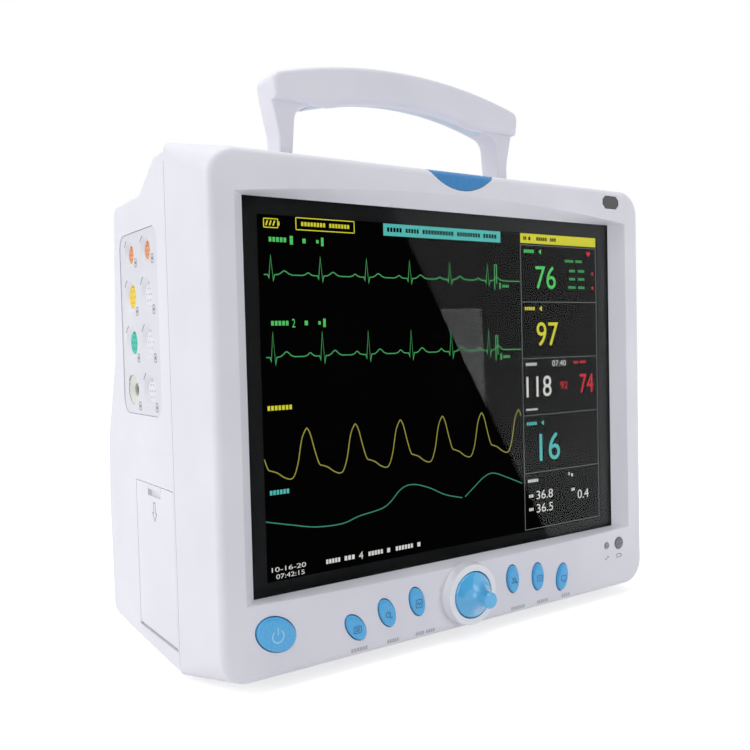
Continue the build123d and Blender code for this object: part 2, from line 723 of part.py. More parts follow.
def roll_x():
    """Distance of the paper roll's axis from the middle."""
    return box_mouth_x() - ROLL_R - 0.5


def roll_limits():
    """Front and rear face of the paper roll, centred in the recorder box."""
    middle = (RECORDER_DOOR_Y[0] + RECORDER_DOOR_Y[1]) / 2
    return middle - ROLL_W / 2, middle + ROLL_W / 2


def y_rod(x, z, y, radius):
    """A round rod along Y."""
    rod = Cylinder(radius, y[1] - y[0], align=(Align.CENTER, Align.CENTER, Align.MIN))
    return Pos(x, y[0], z) * Rot(-90, 0, 0) * rod


def recorder_housing():
    y, z = recorder_box_limits()
    body = side_box(1, y, z, RECORDER_DEPTH, RECORDER_WALL)
    inner = grown(y, -RECORDER_WALL)
    roll = roll_limits()
    hub_r = ROLL_BORE_R - HUB_FIT
    body += y_rod(roll_x(), ROLL_Z, (inner[0] - 0.5, roll[0] + 5), hub_r)
    body += y_rod(roll_x(), ROLL_Z, (roll[1] - 5, inner[1] + 0.5), hub_r)
    return body - block((box_mouth_x() - 14, SIDE_X), RELEASE_Y, grown(RELEASE_Z, 3))


def paper_roll():
    solid = y_rod(roll_x(), ROLL_Z, roll_limits(), ROLL_R)
    return solid - y_rod(roll_x(), ROLL_Z, grown(roll_limits(), 1), ROLL_BORE_R)


def platen_centre():
    """Axis of the platen roller behind the recorder door's upper edge."""
    return SIDE_X - DOOR_T - PLAY - PLATEN_R, RECORDER_DOOR_Z[1] - PLATEN_R - 0.5


def platen_limits():
    middle = (RECORDER_DOOR_Y[0] + RECORDER_DOOR_Y[1]) / 2
    return middle - PLATEN_W / 2, middle + PLATEN_W / 2


def recorder_platen():
    x, z = platen_centre()
    roller = y_rod(x, z, platen_limits(), PLATEN_R)
    reach = PLAY + PLATEN_EAR_T - 0.2
    return roller + y_rod(x, z, grown(platen_limits(), reach), PLATEN_AXLE_R)


def recorder_door():
    """The lid over the paper roll, with two ears that carry the platen roller."""
    solid = side_door(1, RECORDER_DOOR_Y, RECORDER_DOOR_Z)
    x, z = platen_centre()
    low, high = platen_limits()
    for y0 in (low - PLAY - PLATEN_EAR_T, high + PLAY):
        ear = (y0, y0 + PLATEN_EAR_T)
        solid += block((x, SIDE_X - DOOR_T), ear, (z - PLATEN_R + 1, z + PLATEN_R - 1))
        solid += y_rod(x, z, ear, PLATEN_R - 1)
    return solid - y_rod(x, z, grown((low, high), 6), PLATEN_AXLE_R + HINGE_FIT)


def print_head():
    """The heated bar behind the platen, held in the recorder box."""
    x, z = platen_centre()
    low, high = platen_limits()
    face = x - PLATEN_R - HEAD_GAP
    bar = block((face - 5, face), (low, high), (z - 3, z + 3))
    y, _ = recorder_box_limits()
    return bar + block((face - 8, face - 5), grown(y, -RECORDER_WALL - 0.1), (z - 5, z + 5))


def recorder_release():
    """The push button that frees the recorder door."""
    y, z = grown(RELEASE_Y, -PLAY), grown(RELEASE_Z, -PLAY)
    cap = block((INNER_X - PLAY, SIDE_X + 0.8), y, z)
    cap = fillet(cap.faces().sort_by(Axis.X)[-1].edges(), 0.7)
    rim_x = INNER_X - PLAY
    cap += block((rim_x - 1, rim_x), grown(y, -2), grown(z, 1.5))
    return cap + block((rim_x - 5, rim_x), grown(y, -5), grown(z, -2))


# ---- Socket panel -----------------------------------------------------------------------------------------
def panel_face_x():
    return -SIDE_X + PANEL_SUNK


def side_rod(y, z, x0, x1, r0, r1):
    """A rod or cone along X from x0 to x1."""
    axis = Plane(origin=(x0, y, z), z_dir=(1, 0, 0))
    return axis * Solid.make_cone(r0, r1, x1 - x0) if r0 != r1 else side_from(
        Pos(y, z) * Circle(r0), x0, x1)


def socket_spot(column, row):
    return SOCKET_COLUMNS[column], SOCKET_ROWS[row]


def connector_panel():
    """A plate let into the case side, with a flange behind it and a funnel-shaped well for each socket."""
    face = panel_face_x()
    flange_x = -INNER_X
    gap = -PANEL_GAP
    plate = side_from(rounded(grown(PANEL_Y, gap), grown(PANEL_Z, gap), PANEL_R), face, flange_x)
    rim = rounded(grown(PANEL_Y, PANEL_RIM), grown(PANEL_Z, PANEL_RIM), PANEL_R)
    plate += side_from(rim, flange_x, flange_x + PANEL_RIM_T)
    back = flange_x + PANEL_RIM_T
    for column, row, (wide, narrow) in SOCKETS.values():
        y, z = socket_spot(column, row)
        plate -= side_rod(y, z, face, face + SOCKET_WELL, wide, narrow)
        plate -= side_rod(y, z, face + SOCKET_WELL, back, narrow, narrow)
    y, z = socket_spot(0, 3)
    return plate - side_rod(y, z, face, back, PORT_R, PORT_R)


def socket(column, row, narrow):
    """A receptacle: a flat insert with pin holes, held behind the panel by a rim."""
    y, z = socket_spot(column, row)
    face = panel_face_x() + SOCKET_WELL
    back = -INNER_X + PANEL_RIM_T
    end = panel_face_x() + SOCKET_REACH
    solid = side_rod(y, z, face, end, narrow - 0.05, narrow - 0.05)
    solid += side_rod(y, z, back, back + 3, narrow + SOCKET_RIM, narrow + SOCKET_RIM)
    for i in range(6):
        turn = math.radians(60 * i)
        hole_y = y + 0.58 * narrow * math.cos(turn)
        hole_z = z + 0.58 * narrow * math.sin(turn)
        solid -= side_rod(hole_y, hole_z, face - 1, face + PIN_HOLE_DEPTH, PIN_HOLE_R, PIN_HOLE_R)
    return solid - side_rod(y, z, face - 1, face + PIN_HOLE_DEPTH, PIN_HOLE_R, PIN_HOLE_R)


def pressure_port():
    """The air port for the arm cuff: a dished disc with a central bore."""
    y, z = socket_spot(0, 3)
    face = panel_face_x() + PORT_SUNK
    back = -INNER_X + PANEL_RIM_T
    end = panel_face_x() + SOCKET_REACH
    solid = side_rod(y, z, face, end, PORT_R - 0.05, PORT_R - 0.05)
    solid += side_rod(y, z, back, back + 3, PORT_R + SOCKET_RIM, PORT_R + SOCKET_RIM)
    solid -= side_rod(y, z, face, face + 1.5, PORT_R - 1.2, PORT_BORE_R)
    return solid - side_rod(y, z, face, face + PORT_BORE_DEPTH, PORT_BORE_R, PORT_BORE_R)


def parameter_module():
    """The measuring board behind the sockets, with its screening can."""
    x = panel_face_x() + SOCKET_REACH + 0.05
    board = block((x, x + BOARD_T), grown(PANEL_Y, -2), grown(PANEL_Z, -2))
    can = block((x + BOARD_T, x + 18), grown(PANEL_Y, -6), grown(PANEL_Z, -14))
    return board + can


# ---- Rear case --------------------------------------------------------------------------------------------
def tongue():
    """The ring that reaches from the case into the bezel."""
    outer = bezel_outline(WALL + TONGUE_GAP, True)
    inner = bezel_outline(WALL + TONGUE_GAP + TONGUE_T, True)
    end = CASE_FRONT_Y + TONGUE_ROOT
    bite = 0.5
    room_z = (CASE_FLOOR_FRONT + WALL, CASE_TOP - WALL)
    root = rounded(grown((-INNER_X, INNER_X), bite), grown(room_z, bite), 1) - inner
    return back_from(outer - inner, PARTING_Y - TONGUE, end) + back_from(root, CASE_FRONT_Y, end)


def floor_z(y):
    """Height of the case's underside at depth y."""
    rise = (TOE_Z - CASE_FLOOR_FRONT) / (TOE_Y - CASE_FRONT_Y)
    return CASE_FLOOR_FRONT + rise * (y - CASE_FRONT_Y)


def mount_pad():
    """A flat pad under the case with four tapped holes."""
    half_x = MOUNT_SPACING_X / 2 + MOUNT_PAD_EDGE
    half_y = MOUNT_SPACING_Y / 2 + MOUNT_PAD_EDGE
    y = (MOUNT_Y - half_y, MOUNT_Y + half_y)
    pad = up_from(rounded((-half_x, half_x), y, 6), FOOT_H + 0.5, floor_z(y[1]) + 1)
    for x, hole_y in mount_spots():
        pad += up_from(Pos(x, hole_y) * Circle(5), FOOT_H + 1, FOOT_H + MOUNT_HOLE_DEPTH + 2.5)
    return pad


def mount_spots():
    """Centres of the four tapped holes."""
    return [(i * MOUNT_SPACING_X / 2, MOUNT_Y + j * MOUNT_SPACING_Y / 2) for i in (-1, 1) for j in (-1, 1)]


def mount_holes():
    holes = [Pos(x, y) * Circle(MOUNT_HOLE_R) for x, y in mount_spots()]
    return Compound([up_from(hole, 0, FOOT_H + 0.5 + MOUNT_HOLE_DEPTH) for hole in holes])


def chassis_posts():
    """Centres of the floor posts under the chassis."""
    x0, x1 = CHASSIS_X
    return [(x, y) for x in (x0 + 12, x1 - 12) for y in (CHASSIS_Y + 8, CHASSIS_FOOT_BACK_Y - 6)]


def vents():
    """Slots in the upper part of the back."""
    z = (WAIST_Z + 6, WAIST_Z + 6 + VENT_L)
    start = -VENT_PITCH * (VENT_COUNT - 1) / 2
    slots = []
    for i in range(VENT_COUNT):
        x = start + i * VENT_PITCH
        outline = rounded((x - VENT_W / 2, x + VENT_W / 2), z, VENT_W / 2 - 0.05)
        slots.append(back_from(outline, UPPER_BACK_Y - 5, CASE_BACK))
    return Compound(slots)


def speaker_slots():
    """Slots in the right side in front of the speaker."""
    slots = []
    for i in range(-3, 4):
        reach = math.sqrt((SPEAKER_R - 4) ** 2 - (i * SLOT_PITCH) ** 2)
        z = SPEAKER_Z + i * SLOT_PITCH
        outline = rounded((SPEAKER_Y - reach, SPEAKER_Y + reach), (z - SLOT_W / 2, z + SLOT_W / 2), 0.9)
        slots.append(side_from(outline, INNER_X - 1, SIDE_X + 1))
    return Compound(slots)


def screw_spots():
    """Centres of the long case screws on the back: two high on the waist and two low on the heel."""
    x = SIDE_X - 14
    return [(side * x, z) for side in (-1, 1) for z in (WAIST_Z + 50, HEEL_Z + 12)]


def screw_seat_y(z):
    """Depth of the flat seat of a case screw at height z."""
    upper = (z - WAIST_Z) / (DECK_Z - DECK_DROP - WAIST_Z)
    if upper > 0:
        return WAIST_Y + upper * (UPPER_BACK_Y - WAIST_Y) - WALL - 1
    lower = (z - HEEL_Z) / (BULGE_Z - HEEL_Z)
    return HEEL_Y + lower * (CASE_BACK - HEEL_Y) - WALL - 1


def rear_case():
    solid = case_skin() - case_hollow()
    solid += tongue()
    solid += mount_pad()
    for x in (-FOOT_X, FOOT_X):
        solid += up_from(Pos(x, FOOT_REAR_Y) * Circle(FOOT_R), FOOT_H, floor_z(FOOT_REAR_Y) + 1)
    for x, y in chassis_posts():
        solid += up_from(Pos(x, y) * Circle(5), floor_z(y) + 1, CHASSIS_FOOT_Z)
    for x, z in screw_spots():
        seat = screw_seat_y(z)
        solid += back_from(Pos(x, z) * Circle(SCREW_R + 2), seat - SCREW_LENGTH, seat + 2.5)
    rim_x, rim_z = grown(POCKET_X, POCKET_RIM), grown(POCKET_Z, POCKET_RIM)
    solid += back_from(rounded(rim_x, rim_z, 4), POCKET_FLOOR_Y, HEEL_Y - 1)
    solid += door_frame(-1, BATTERY_DOOR_Y, BATTERY_DOOR_Z, BATTERY_DOOR_Z[1] - 6)
    solid += door_frame(1, RECORDER_DOOR_Y, RECORDER_DOOR_Z, RECORDER_TOP)
    return solid - case_cuts()


def case_cuts():
    """Every opening through the rear case's walls."""
    cuts = [mount_holes(), vents(), speaker_slots()]
    cuts.append(side_from(rounded(PANEL_Y, PANEL_Z, PANEL_R), -SIDE_X - 1, -INNER_X + 1))
    cuts.append(door_opening(-1, BATTERY_DOOR_Y, BATTERY_DOOR_Z))
    cuts.append(door_opening(1, RECORDER_DOOR_Y, RECORDER_DOOR_Z))
    cuts.append(hinge_bore(-1, BATTERY_DOOR_Y, BATTERY_DOOR_Z))
    cuts.append(hinge_bore(1, RECORDER_DOOR_Y, RECORDER_DOOR_Z))
    cuts.append(block((INNER_X - 1, SIDE_X + 1), RELEASE_Y, RELEASE_Z))
    cuts.append(back_from(rounded(POCKET_X, POCKET_Z, 3), POCKET_FLOOR_Y - 2, CASE_BACK + 1))
    for x, z in screw_spots():
        seat = screw_seat_y(z)
        cuts.append(back_from(Pos(x, z) * Circle(SCREW_R + 0.4), seat, CASE_BACK + 1))
        cuts.append(back_from(Pos(x, z) * Circle(SCREW_SHANK_R + 0.2), seat - SCREW_LENGTH - 1, seat))
    return Compound(cuts)


def case_screws():
    """Pan-head screws with a cross recess, one in each seat."""
    screws = []
    for x, z in screw_spots():
        seat = screw_seat_y(z)
        head = back_from(Pos(x, z) * Circle(SCREW_R), seat, seat + 2.2)
        head = fillet(head.faces().sort_by(Axis.Y)[-1].edges(), 1.0)
        for slot in (Rectangle(3.6, 0.8), Rectangle(0.8, 3.6)):
            head -= back_from(Pos(x, z) * slot, seat + 1.2, seat + 3)
        screws.append(head + back_from(Pos(x, z) * Circle(SCREW_SHANK_R), seat - SCREW_LENGTH, seat))
    return Compound(screws)


# ---- Rear connectors --------------------------------------------------------------------------------------
def rear_panel():
    x, z = grown(POCKET_X, POCKET_RIM), grown(POCKET_Z, POCKET_RIM)
    plate = back_from(rounded(x, z, 4), POCKET_FLOOR_Y - REAR_PLATE_T, POCKET_FLOOR_Y)
    holes = [
        Pos(INLET_X, REAR_ROW_Z) * Rectangle(INLET_W + 0.4, INLET_H + 0.4),
        Pos(FUSE_X, REAR_ROW_Z) * Circle(FUSE_R - 1),
        Pos(STUD_X, REAR_ROW_Z) * Rectangle(STUD_NECK + 0.4, STUD_NECK + 0.4),
        Pos(NETWORK_X, REAR_ROW_Z) * Rectangle(NETWORK_W + 0.4, NETWORK_H + 0.4),
    ]
    for hole in holes:
        plate -= back_from(hole, POCKET_FLOOR_Y - 3, POCKET_FLOOR_Y + 1)
    return plate


def mains_inlet():
    """A flanged mains inlet with three blades in its hollow."""
    here = Pos(INLET_X, REAR_ROW_Z)
    front = POCKET_FLOOR_Y + 2.0
    body = back_from(here * RectangleRounded(INLET_W + 18, INLET_H + 6, 3), POCKET_FLOOR_Y, front)
    body += back_from(here * Rectangle(INLET_W, INLET_H), POCKET_FLOOR_Y - INLET_DEPTH, POCKET_FLOOR_Y)
    hollow = chamfer(Rectangle(INLET_HOLLOW_W, INLET_HOLLOW_H).vertices().sort_by(Axis.Y)[2:], 4)
    floor = front - INLET_DEPTH + 2
    body -= back_from(here * hollow, floor, front + 1)
    for x, z in ((-7, -2), (7, -2), (0, 2)):
        blade = here * Pos(x, z) * Rectangle(2, 4)
        body += back_from(blade, floor - 1, front - 5)
    return body


def fuse_holder():
    here = Pos(FUSE_X, REAR_ROW_Z)
    body = back_from(here * Circle(FUSE_R - 1.2), POCKET_FLOOR_Y - 20, POCKET_FLOOR_Y)
    cap = back_from(here * Circle(FUSE_R), POCKET_FLOOR_Y, POCKET_FLOOR_Y + 3.5)
    cap -= back_from(here * Rectangle(8, 1.4), POCKET_FLOOR_Y + 2.3, POCKET_FLOOR_Y + 4)
    return body + cap


def ground_stud():
    """A round stud on a square neck through the plate, with a hexagon head inside."""
    here = Pos(STUD_X, REAR_ROW_Z)
    shoulder = POCKET_FLOOR_Y + STUD_NECK_OUT
    plate_back = POCKET_FLOOR_Y - REAR_PLATE_T
    stud = back_from(here * Circle(STUD_R), shoulder, POCKET_FLOOR_Y + STUD_OUT)
    stud = fillet(stud.faces().sort_by(Axis.Y)[-1].edges(), STUD_TIP_R)
    stud += back_from(here * Rectangle(STUD_NECK, STUD_NECK), plate_back, shoulder)
    return stud + back_from(here * RegularPolygon(5.2, 6), plate_back - STUD_HEAD_T, plate_back)


def network_socket():
    here = Pos(NETWORK_X, REAR_ROW_Z)
    front = POCKET_FLOOR_Y + 0.6
    body = back_from(here * Rectangle(NETWORK_W, NETWORK_H), front - NETWORK_DEPTH - 2, front)
    hollow = Rectangle(NETWORK_HOLLOW_W, NETWORK_HOLLOW_H)
    notch = Pos(0, -NETWORK_HOLLOW_H / 2) * Rectangle(4.0, 3.0)
    return body - back_from(here * (hollow + notch), front - NETWORK_DEPTH, front + 1)


# ---- Inner pieces -----------------------------------------------------------------------------------------
def chassis_plate():
    """An angle of sheet: a foot on the floor posts and an upright that carries the main board."""
    foot = block(CHASSIS_X, (CHASSIS_Y, CHASSIS_FOOT_BACK_Y), (CHASSIS_FOOT_Z, CHASSIS_FOOT_Z + CHASSIS_T))
    top = DECK_Z - WALL - 16
    upright = block(CHASSIS_X, (CHASSIS_Y, CHASSIS_Y + CHASSIS_T), (CHASSIS_FOOT_Z, top))
    solid = foot + upright
    for x, z in main_board_posts():
        solid += back_from(Pos(x, z) * Circle(STANDOFF_R), CHASSIS_Y, CHASSIS_Y + CHASSIS_T + STANDOFF_H)
    for x, y in supply_posts():
        base = CHASSIS_FOOT_Z
        solid += up_from(Pos(x, y) * Circle(STANDOFF_R), base, base + CHASSIS_T + STANDOFF_H)
    return solid


def main_board_posts():
    x0, x1 = CHASSIS_X
    return [(x, z) for x in (x0 + 14, x1 - 14) for z in (130.0, 215.0)]


def supply_posts():
    x0, x1 = CHASSIS_X
    return [(x, y) for x in (x0 + 24, x1 - 44) for y in (CHASSIS_Y + 18, CHASSIS_FOOT_BACK_Y - 8)]


def main_board():
    y = CHASSIS_Y + CHASSIS_T + STANDOFF_H
    x0, x1 = CHASSIS_X
    board = block((x0 + 8, x1 - 8), (y, y + BOARD_T), (124, 221))
    board += block((-30, 10), (y + BOARD_T, y + 8), (150, 190))
    board += block((30, 62), (y + BOARD_T, y + 5), (140, 172))
    return board + block((-66, -44), (y + BOARD_T, y + 12), (136, 208))


def power_supply_board():
    """The supply on its standoffs: transformer, two capacitors and a heat sink."""
    z = CHASSIS_FOOT_Z + CHASSIS_T + STANDOFF_H
    x0, x1 = CHASSIS_X
    board = block((x0 + 16, x1 - 36), (CHASSIS_Y + 12, CHASSIS_FOOT_BACK_Y - 2), (z, z + BOARD_T))
    board += block((-60, -28), (68, 96), (z + BOARD_T, z + 26))
    for x in (-14, 6):
        board += up_from(Pos(x, 82) * Circle(8), z + BOARD_T, z + 30)
    return board + block((22, 26), (66, 102), (z + BOARD_T, z + 32))


def speaker():
    driver = side_rod(SPEAKER_Y, SPEAKER_Z, INNER_X - 4, INNER_X, SPEAKER_R, SPEAKER_R)
    return driver + side_rod(SPEAKER_Y, SPEAKER_Z, INNER_X - SPEAKER_T, INNER_X - 4, 11, SPEAKER_R - 3)


# ---- Handle and feet --------------------------------------------------------------------------------------
def arc_height(top, radius, x):
    """Height at x of an arc that bows up to top at x = 0."""
    return top - radius + math.sqrt(radius ** 2 - x ** 2)


def handle_arch(lift):
    """The handle's outline from the front, with the grip's underside lifted."""
    under = HANDLE_TOP - HANDLE_GRIP_H + lift
    end_z = arc_height(HANDLE_TOP, HANDLE_TOP_ARC, HANDLE_END_X)
    arch_z = arc_height(under, HANDLE_UNDER_ARC, HANDLE_ARCH_X)
    inner_foot, outer_foot = HANDLE_FOOT_X
    neck_z = CASE_TOP + HANDLE_NECK_RISE
    face = make_face([
        ThreePointArc((0, HANDLE_TOP), *arc_points(HANDLE_TOP, HANDLE_TOP_ARC, HANDLE_END_X)),
        Polyline((HANDLE_END_X, end_z), (HANDLE_END_X - 1.5, end_z - HANDLE_END_H),
                 (outer_foot, neck_z), (outer_foot, DECK_Z), (inner_foot, DECK_Z),
                 (HANDLE_ARCH_X, arch_z)),
        ThreePointArc((HANDLE_ARCH_X, arch_z), *arc_points(under, HANDLE_UNDER_ARC, 0, HANDLE_ARCH_X)),
        Line((0, under), (0, HANDLE_TOP)),
    ])
    corners = (
        (HANDLE_END_X, end_z, HANDLE_END_R),
        (HANDLE_ARCH_X, arch_z, HANDLE_ARCH_R),
        (outer_foot, neck_z, HANDLE_NECK_R),
    )
    for x, z, radius in corners:
        corner = face.vertices().sort_by_distance((x, z, 0))[0]
        face = fillet(corner, radius)
    return face + mirror(face, Plane.YZ)


def arc_points(top, radius, x_end, x_start=0.0):
    """Middle and end point of an arc that bows up to top at x = 0."""
    middle = (x_start + x_end) / 2
    return (middle, arc_height(top, radius, middle)), (x_end, arc_height(top, radius, x_end))


def handle_shell():
    """A leg at each end and a grip with a front lip that stands forward of them, seated on the case."""
    arch = back_from(handle_arch(HANDLE_LIFT), *HANDLE_LEG_Y)
    rims = [f for f in arch.faces() if abs(f.normal_at().Y) > 0.9]
    arch = fillet([e for f in rims for e in f.edges() if e.center().Z > CASE_TOP + 2], LEG_EDGE_R)
    room = HANDLE_RISE - GRIP_LOW_RISE
    lip = handle_arch(0) & Pos(0, HANDLE_TOP - room / 2) * Rectangle(2 * HANDLE_END_X, room)
    grip = round_front(back_from(lip, GRIP_FRONT_Y, HANDLE_LEG_Y[0] + LIP_OVERLAP), GRIP_EDGE_R)
    return arch + grip - case_skin() - insert_solid(0.05)


def insert_solid(by):
    """The soft strip under the grip, grown by the given gap."""
    under = arc_strip(INSERT_X + by, -INSERT_T - by, 0.5)
    return back_from(under, HANDLE_LEG_Y[0] + INSERT_SIDE - by, HANDLE_LEG_Y[1] - INSERT_SIDE + by)


def arc_strip(half, high, low):
    """A strip along the grip's lower line: from low below it to high above it."""
    line = HANDLE_TOP - HANDLE_GRIP_H + HANDLE_LIFT
    (mid_lo, end_lo) = arc_points(line - low, HANDLE_UNDER_ARC, half)
    (mid_hi, end_hi) = arc_points(line - high, HANDLE_UNDER_ARC, half)
    face = make_face([
        ThreePointArc((0, line - low), mid_lo, end_lo),
        Line(end_lo, end_hi),
        ThreePointArc(end_hi, mid_hi, (0, line - high)),
        Line((0, line - high), (0, line - low)),
    ])
    return face + mirror(face, Plane.YZ)


def rubber_foot(x, y):
    pad = up_from(Pos(x, y) * Circle(FOOT_R), FOOT_SOLE_Z, FOOT_H)
    return fillet(pad.faces().sort_by(Axis.Z)[0].edges(), 1.2)


# ---- Assembly ---------------------------------------------------------------------------------------------
def pieces():
    """Every node's name and solid."""
    parts = {
        "front_bezel": front_bezel(),
        "knob_collar": knob_collar(),
        "alarm_lamp": alarm_lamp(),
        "sensor_window": sensor_window(),
        "power_button": pressed_key(POWER_B, POWER_A, POWER_TILT, POWER_X, POWER_Z, POWER_PROUD),
        "keypad_board": keypad_board(),
        "rotary_knob": rotary_knob(),
        "encoder_shaft": encoder_shaft(),
        "encoder_plunger": encoder_plunger(),
        "encoder_body": encoder_body(),
        "screen_glass": screen_glass(),
        "lcd_panel": lcd_panel(),
        "lcd_bracket": lcd_bracket(),
        "rear_case": rear_case(),
        "case_screws": case_screws(),
        "connector_panel": connector_panel(),
        "pressure_port": pressure_port(),
        "parameter_module": parameter_module(),
        "battery_door": battery_door(),
        "battery_latch": battery_latch(),
        "battery_hinge_pin": hinge_pin(-1, BATTERY_DOOR_Y, BATTERY_DOOR_Z),
        "battery_bay": battery_bay(),
        "battery_pack": battery_pack(),
        "recorder_housing": recorder_housing(),
        "recorder_door": recorder_door(),
        "recorder_hinge_pin": hinge_pin(1, RECORDER_DOOR_Y, RECORDER_DOOR_Z),
        "recorder_platen": recorder_platen(),
        "recorder_release": recorder_release(),
        "paper_roll": paper_roll(),
        "print_head": print_head(),
        "rear_panel": rear_panel(),
        "mains_inlet": mains_inlet(),
        "fuse_holder": fuse_holder(),
        "ground_stud": ground_stud(),
        "network_socket": network_socket(),
        "speaker": speaker(),
        "chassis_plate": chassis_plate(),
        "main_board": main_board(),
        "power_supply_board": power_supply_board(),
        "handle_shell": handle_shell(),
        "handle_insert": insert_solid(0),
    }
    for name, (x, z, tilt) in KEYS.items():
        parts[name] = pressed_key(KEY_A, KEY_B, tilt, x, z, KEY_PROUD)
    for name, (x, r) in LEDS.items():
        parts[name] = led(x, r)
    for name, (column, row, size) in SOCKETS.items():
        parts[name] = socket(column, row, size[1])
    for end, y in (("front", FOOT_FRONT_Y), ("rear", FOOT_REAR_Y)):
        parts[f"foot_{end}_left"] = rubber_foot(-FOOT_X, y)
        parts[f"foot_{end}_right"] = rubber_foot(FOOT_X, y)
    return parts


def save(parts):
    """Each piece in its own STEP file, in the row's frame."""
    os.makedirs("parts", exist_ok=True)
    for name, solid in parts.items():
        export_step(Pos(0, -ORIGIN_Y, -FOOT_SOLE_Z) * solid, f"parts/{name}.step")


if __name__ == "__main__":
    save(pieces())
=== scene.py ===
"""Looks of a bedside patient monitor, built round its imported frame.

The case, bezel, handle, doors and connectors are the frame's own solids, dressed here with moulded, plated
and rubber finishes. The lit picture, the signs on the keys, the contacts in the sockets and the other small
detail are meshes made here. Lengths are in metres, and sizes in millimetres have names that end in mm.
"""

import logging
import math
from abc import ABC, abstractmethod
from dataclasses import dataclass, field
from enum import Enum
from typing import Any, Iterable, Mapping, Sequence

import bmesh
import bpy
from mathutils import Matrix, Vector


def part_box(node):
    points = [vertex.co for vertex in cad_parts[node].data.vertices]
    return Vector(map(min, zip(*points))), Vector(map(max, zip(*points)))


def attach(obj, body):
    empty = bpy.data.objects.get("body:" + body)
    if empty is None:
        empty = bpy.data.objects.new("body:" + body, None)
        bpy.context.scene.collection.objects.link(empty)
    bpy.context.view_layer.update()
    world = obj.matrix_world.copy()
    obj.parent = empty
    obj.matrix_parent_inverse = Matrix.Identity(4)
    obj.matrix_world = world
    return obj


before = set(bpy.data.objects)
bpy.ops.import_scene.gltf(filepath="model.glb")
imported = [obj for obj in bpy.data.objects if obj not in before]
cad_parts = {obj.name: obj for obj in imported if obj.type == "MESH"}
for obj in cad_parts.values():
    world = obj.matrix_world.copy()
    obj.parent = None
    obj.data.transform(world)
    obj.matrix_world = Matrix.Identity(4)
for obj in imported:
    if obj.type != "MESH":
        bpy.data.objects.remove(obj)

LOG = logging.getLogger("monitor")
MM = 0.001
CASE_BODY = "monitor_case"
Point = tuple[float, float]

# The Mix node's colour sockets share their names with its other sockets, so they go by number.
MIX_SHARE = 0
MIX_FIRST = 6
MIX_SECOND = 7
MIX_COLOUR = 2
# A wave texture at scale 1 runs through this many radians in each unit.
WAVE_PHASE = 20
# Corners nearer than this are one corner, in metres.
WELD_DRAWN = 1e-7
WELD_FRAME = 1e-6
# Edges that turn further than this stay sharp on drawn pieces, or are softened on frame solids.
SMOOTH_DEG = 35
SOFTEN_DEG = 38
SOFTEN_STEPS = 2


def linear(colour: str) -> tuple[float, float, float, float]:
    """Turns an sRGB hex colour into linear light.

    Args:
        colour: Six hex digits, with or without a leading "#".

    Returns:
        Red, green, blue and alpha, each from 0 to 1.
    """
    text = colour.lstrip("#")
    parts = [int(text[i:i + 2], 16) / 255 for i in (0, 2, 4)]
    light = [c / 12.92 if c <= 0.04045 else ((c + 0.055) / 1.055) ** 2.4 for c in parts]
    return (light[0], light[1], light[2], 1.0)


def add_node(
    tree: bpy.types.NodeTree,
    kind: str,
    settings: Mapping[str | int, Any] | None = None,
    links: Mapping[str | int, bpy.types.NodeSocket] | None = None,
) -> bpy.types.Node:
    """Adds a node with its settings and links.

    Args:
        tree: The node tree that gets the node.
        kind: The node's type name.
        settings: Values for its inputs, by name or number, and for its properties, by name.
        links: Sockets that feed its inputs, by the input's name or number.

    Returns:
        The new node.
    """
    node = tree.nodes.new(kind)
    for key, value in (settings or {}).items():
        if isinstance(key, int) or key in node.inputs:
            node.inputs[key].default_value = value
        else:
            setattr(node, key, value)
    for key, socket in (links or {}).items():
        tree.links.new(socket, node.inputs[key])
    return node


def blank_material(name: str) -> bpy.types.Material:
    """Makes a material with an empty node tree.

    Args:
        name: Its name.

    Returns:
        The new material.
    """
    made = bpy.data.materials.new(name)
    made.use_nodes = True
    made.node_tree.nodes.clear()
    return made


def shown_object(name: str, data: bpy.types.ID) -> bpy.types.Object:
    """Puts a mesh, lamp or camera in the scene.

    Args:
        name: The object's name.
        data: What it holds.

    Returns:
        The new object.
    """
    made = bpy.data.objects.new(name, data)
    bpy.context.scene.collection.objects.link(made)
    return made


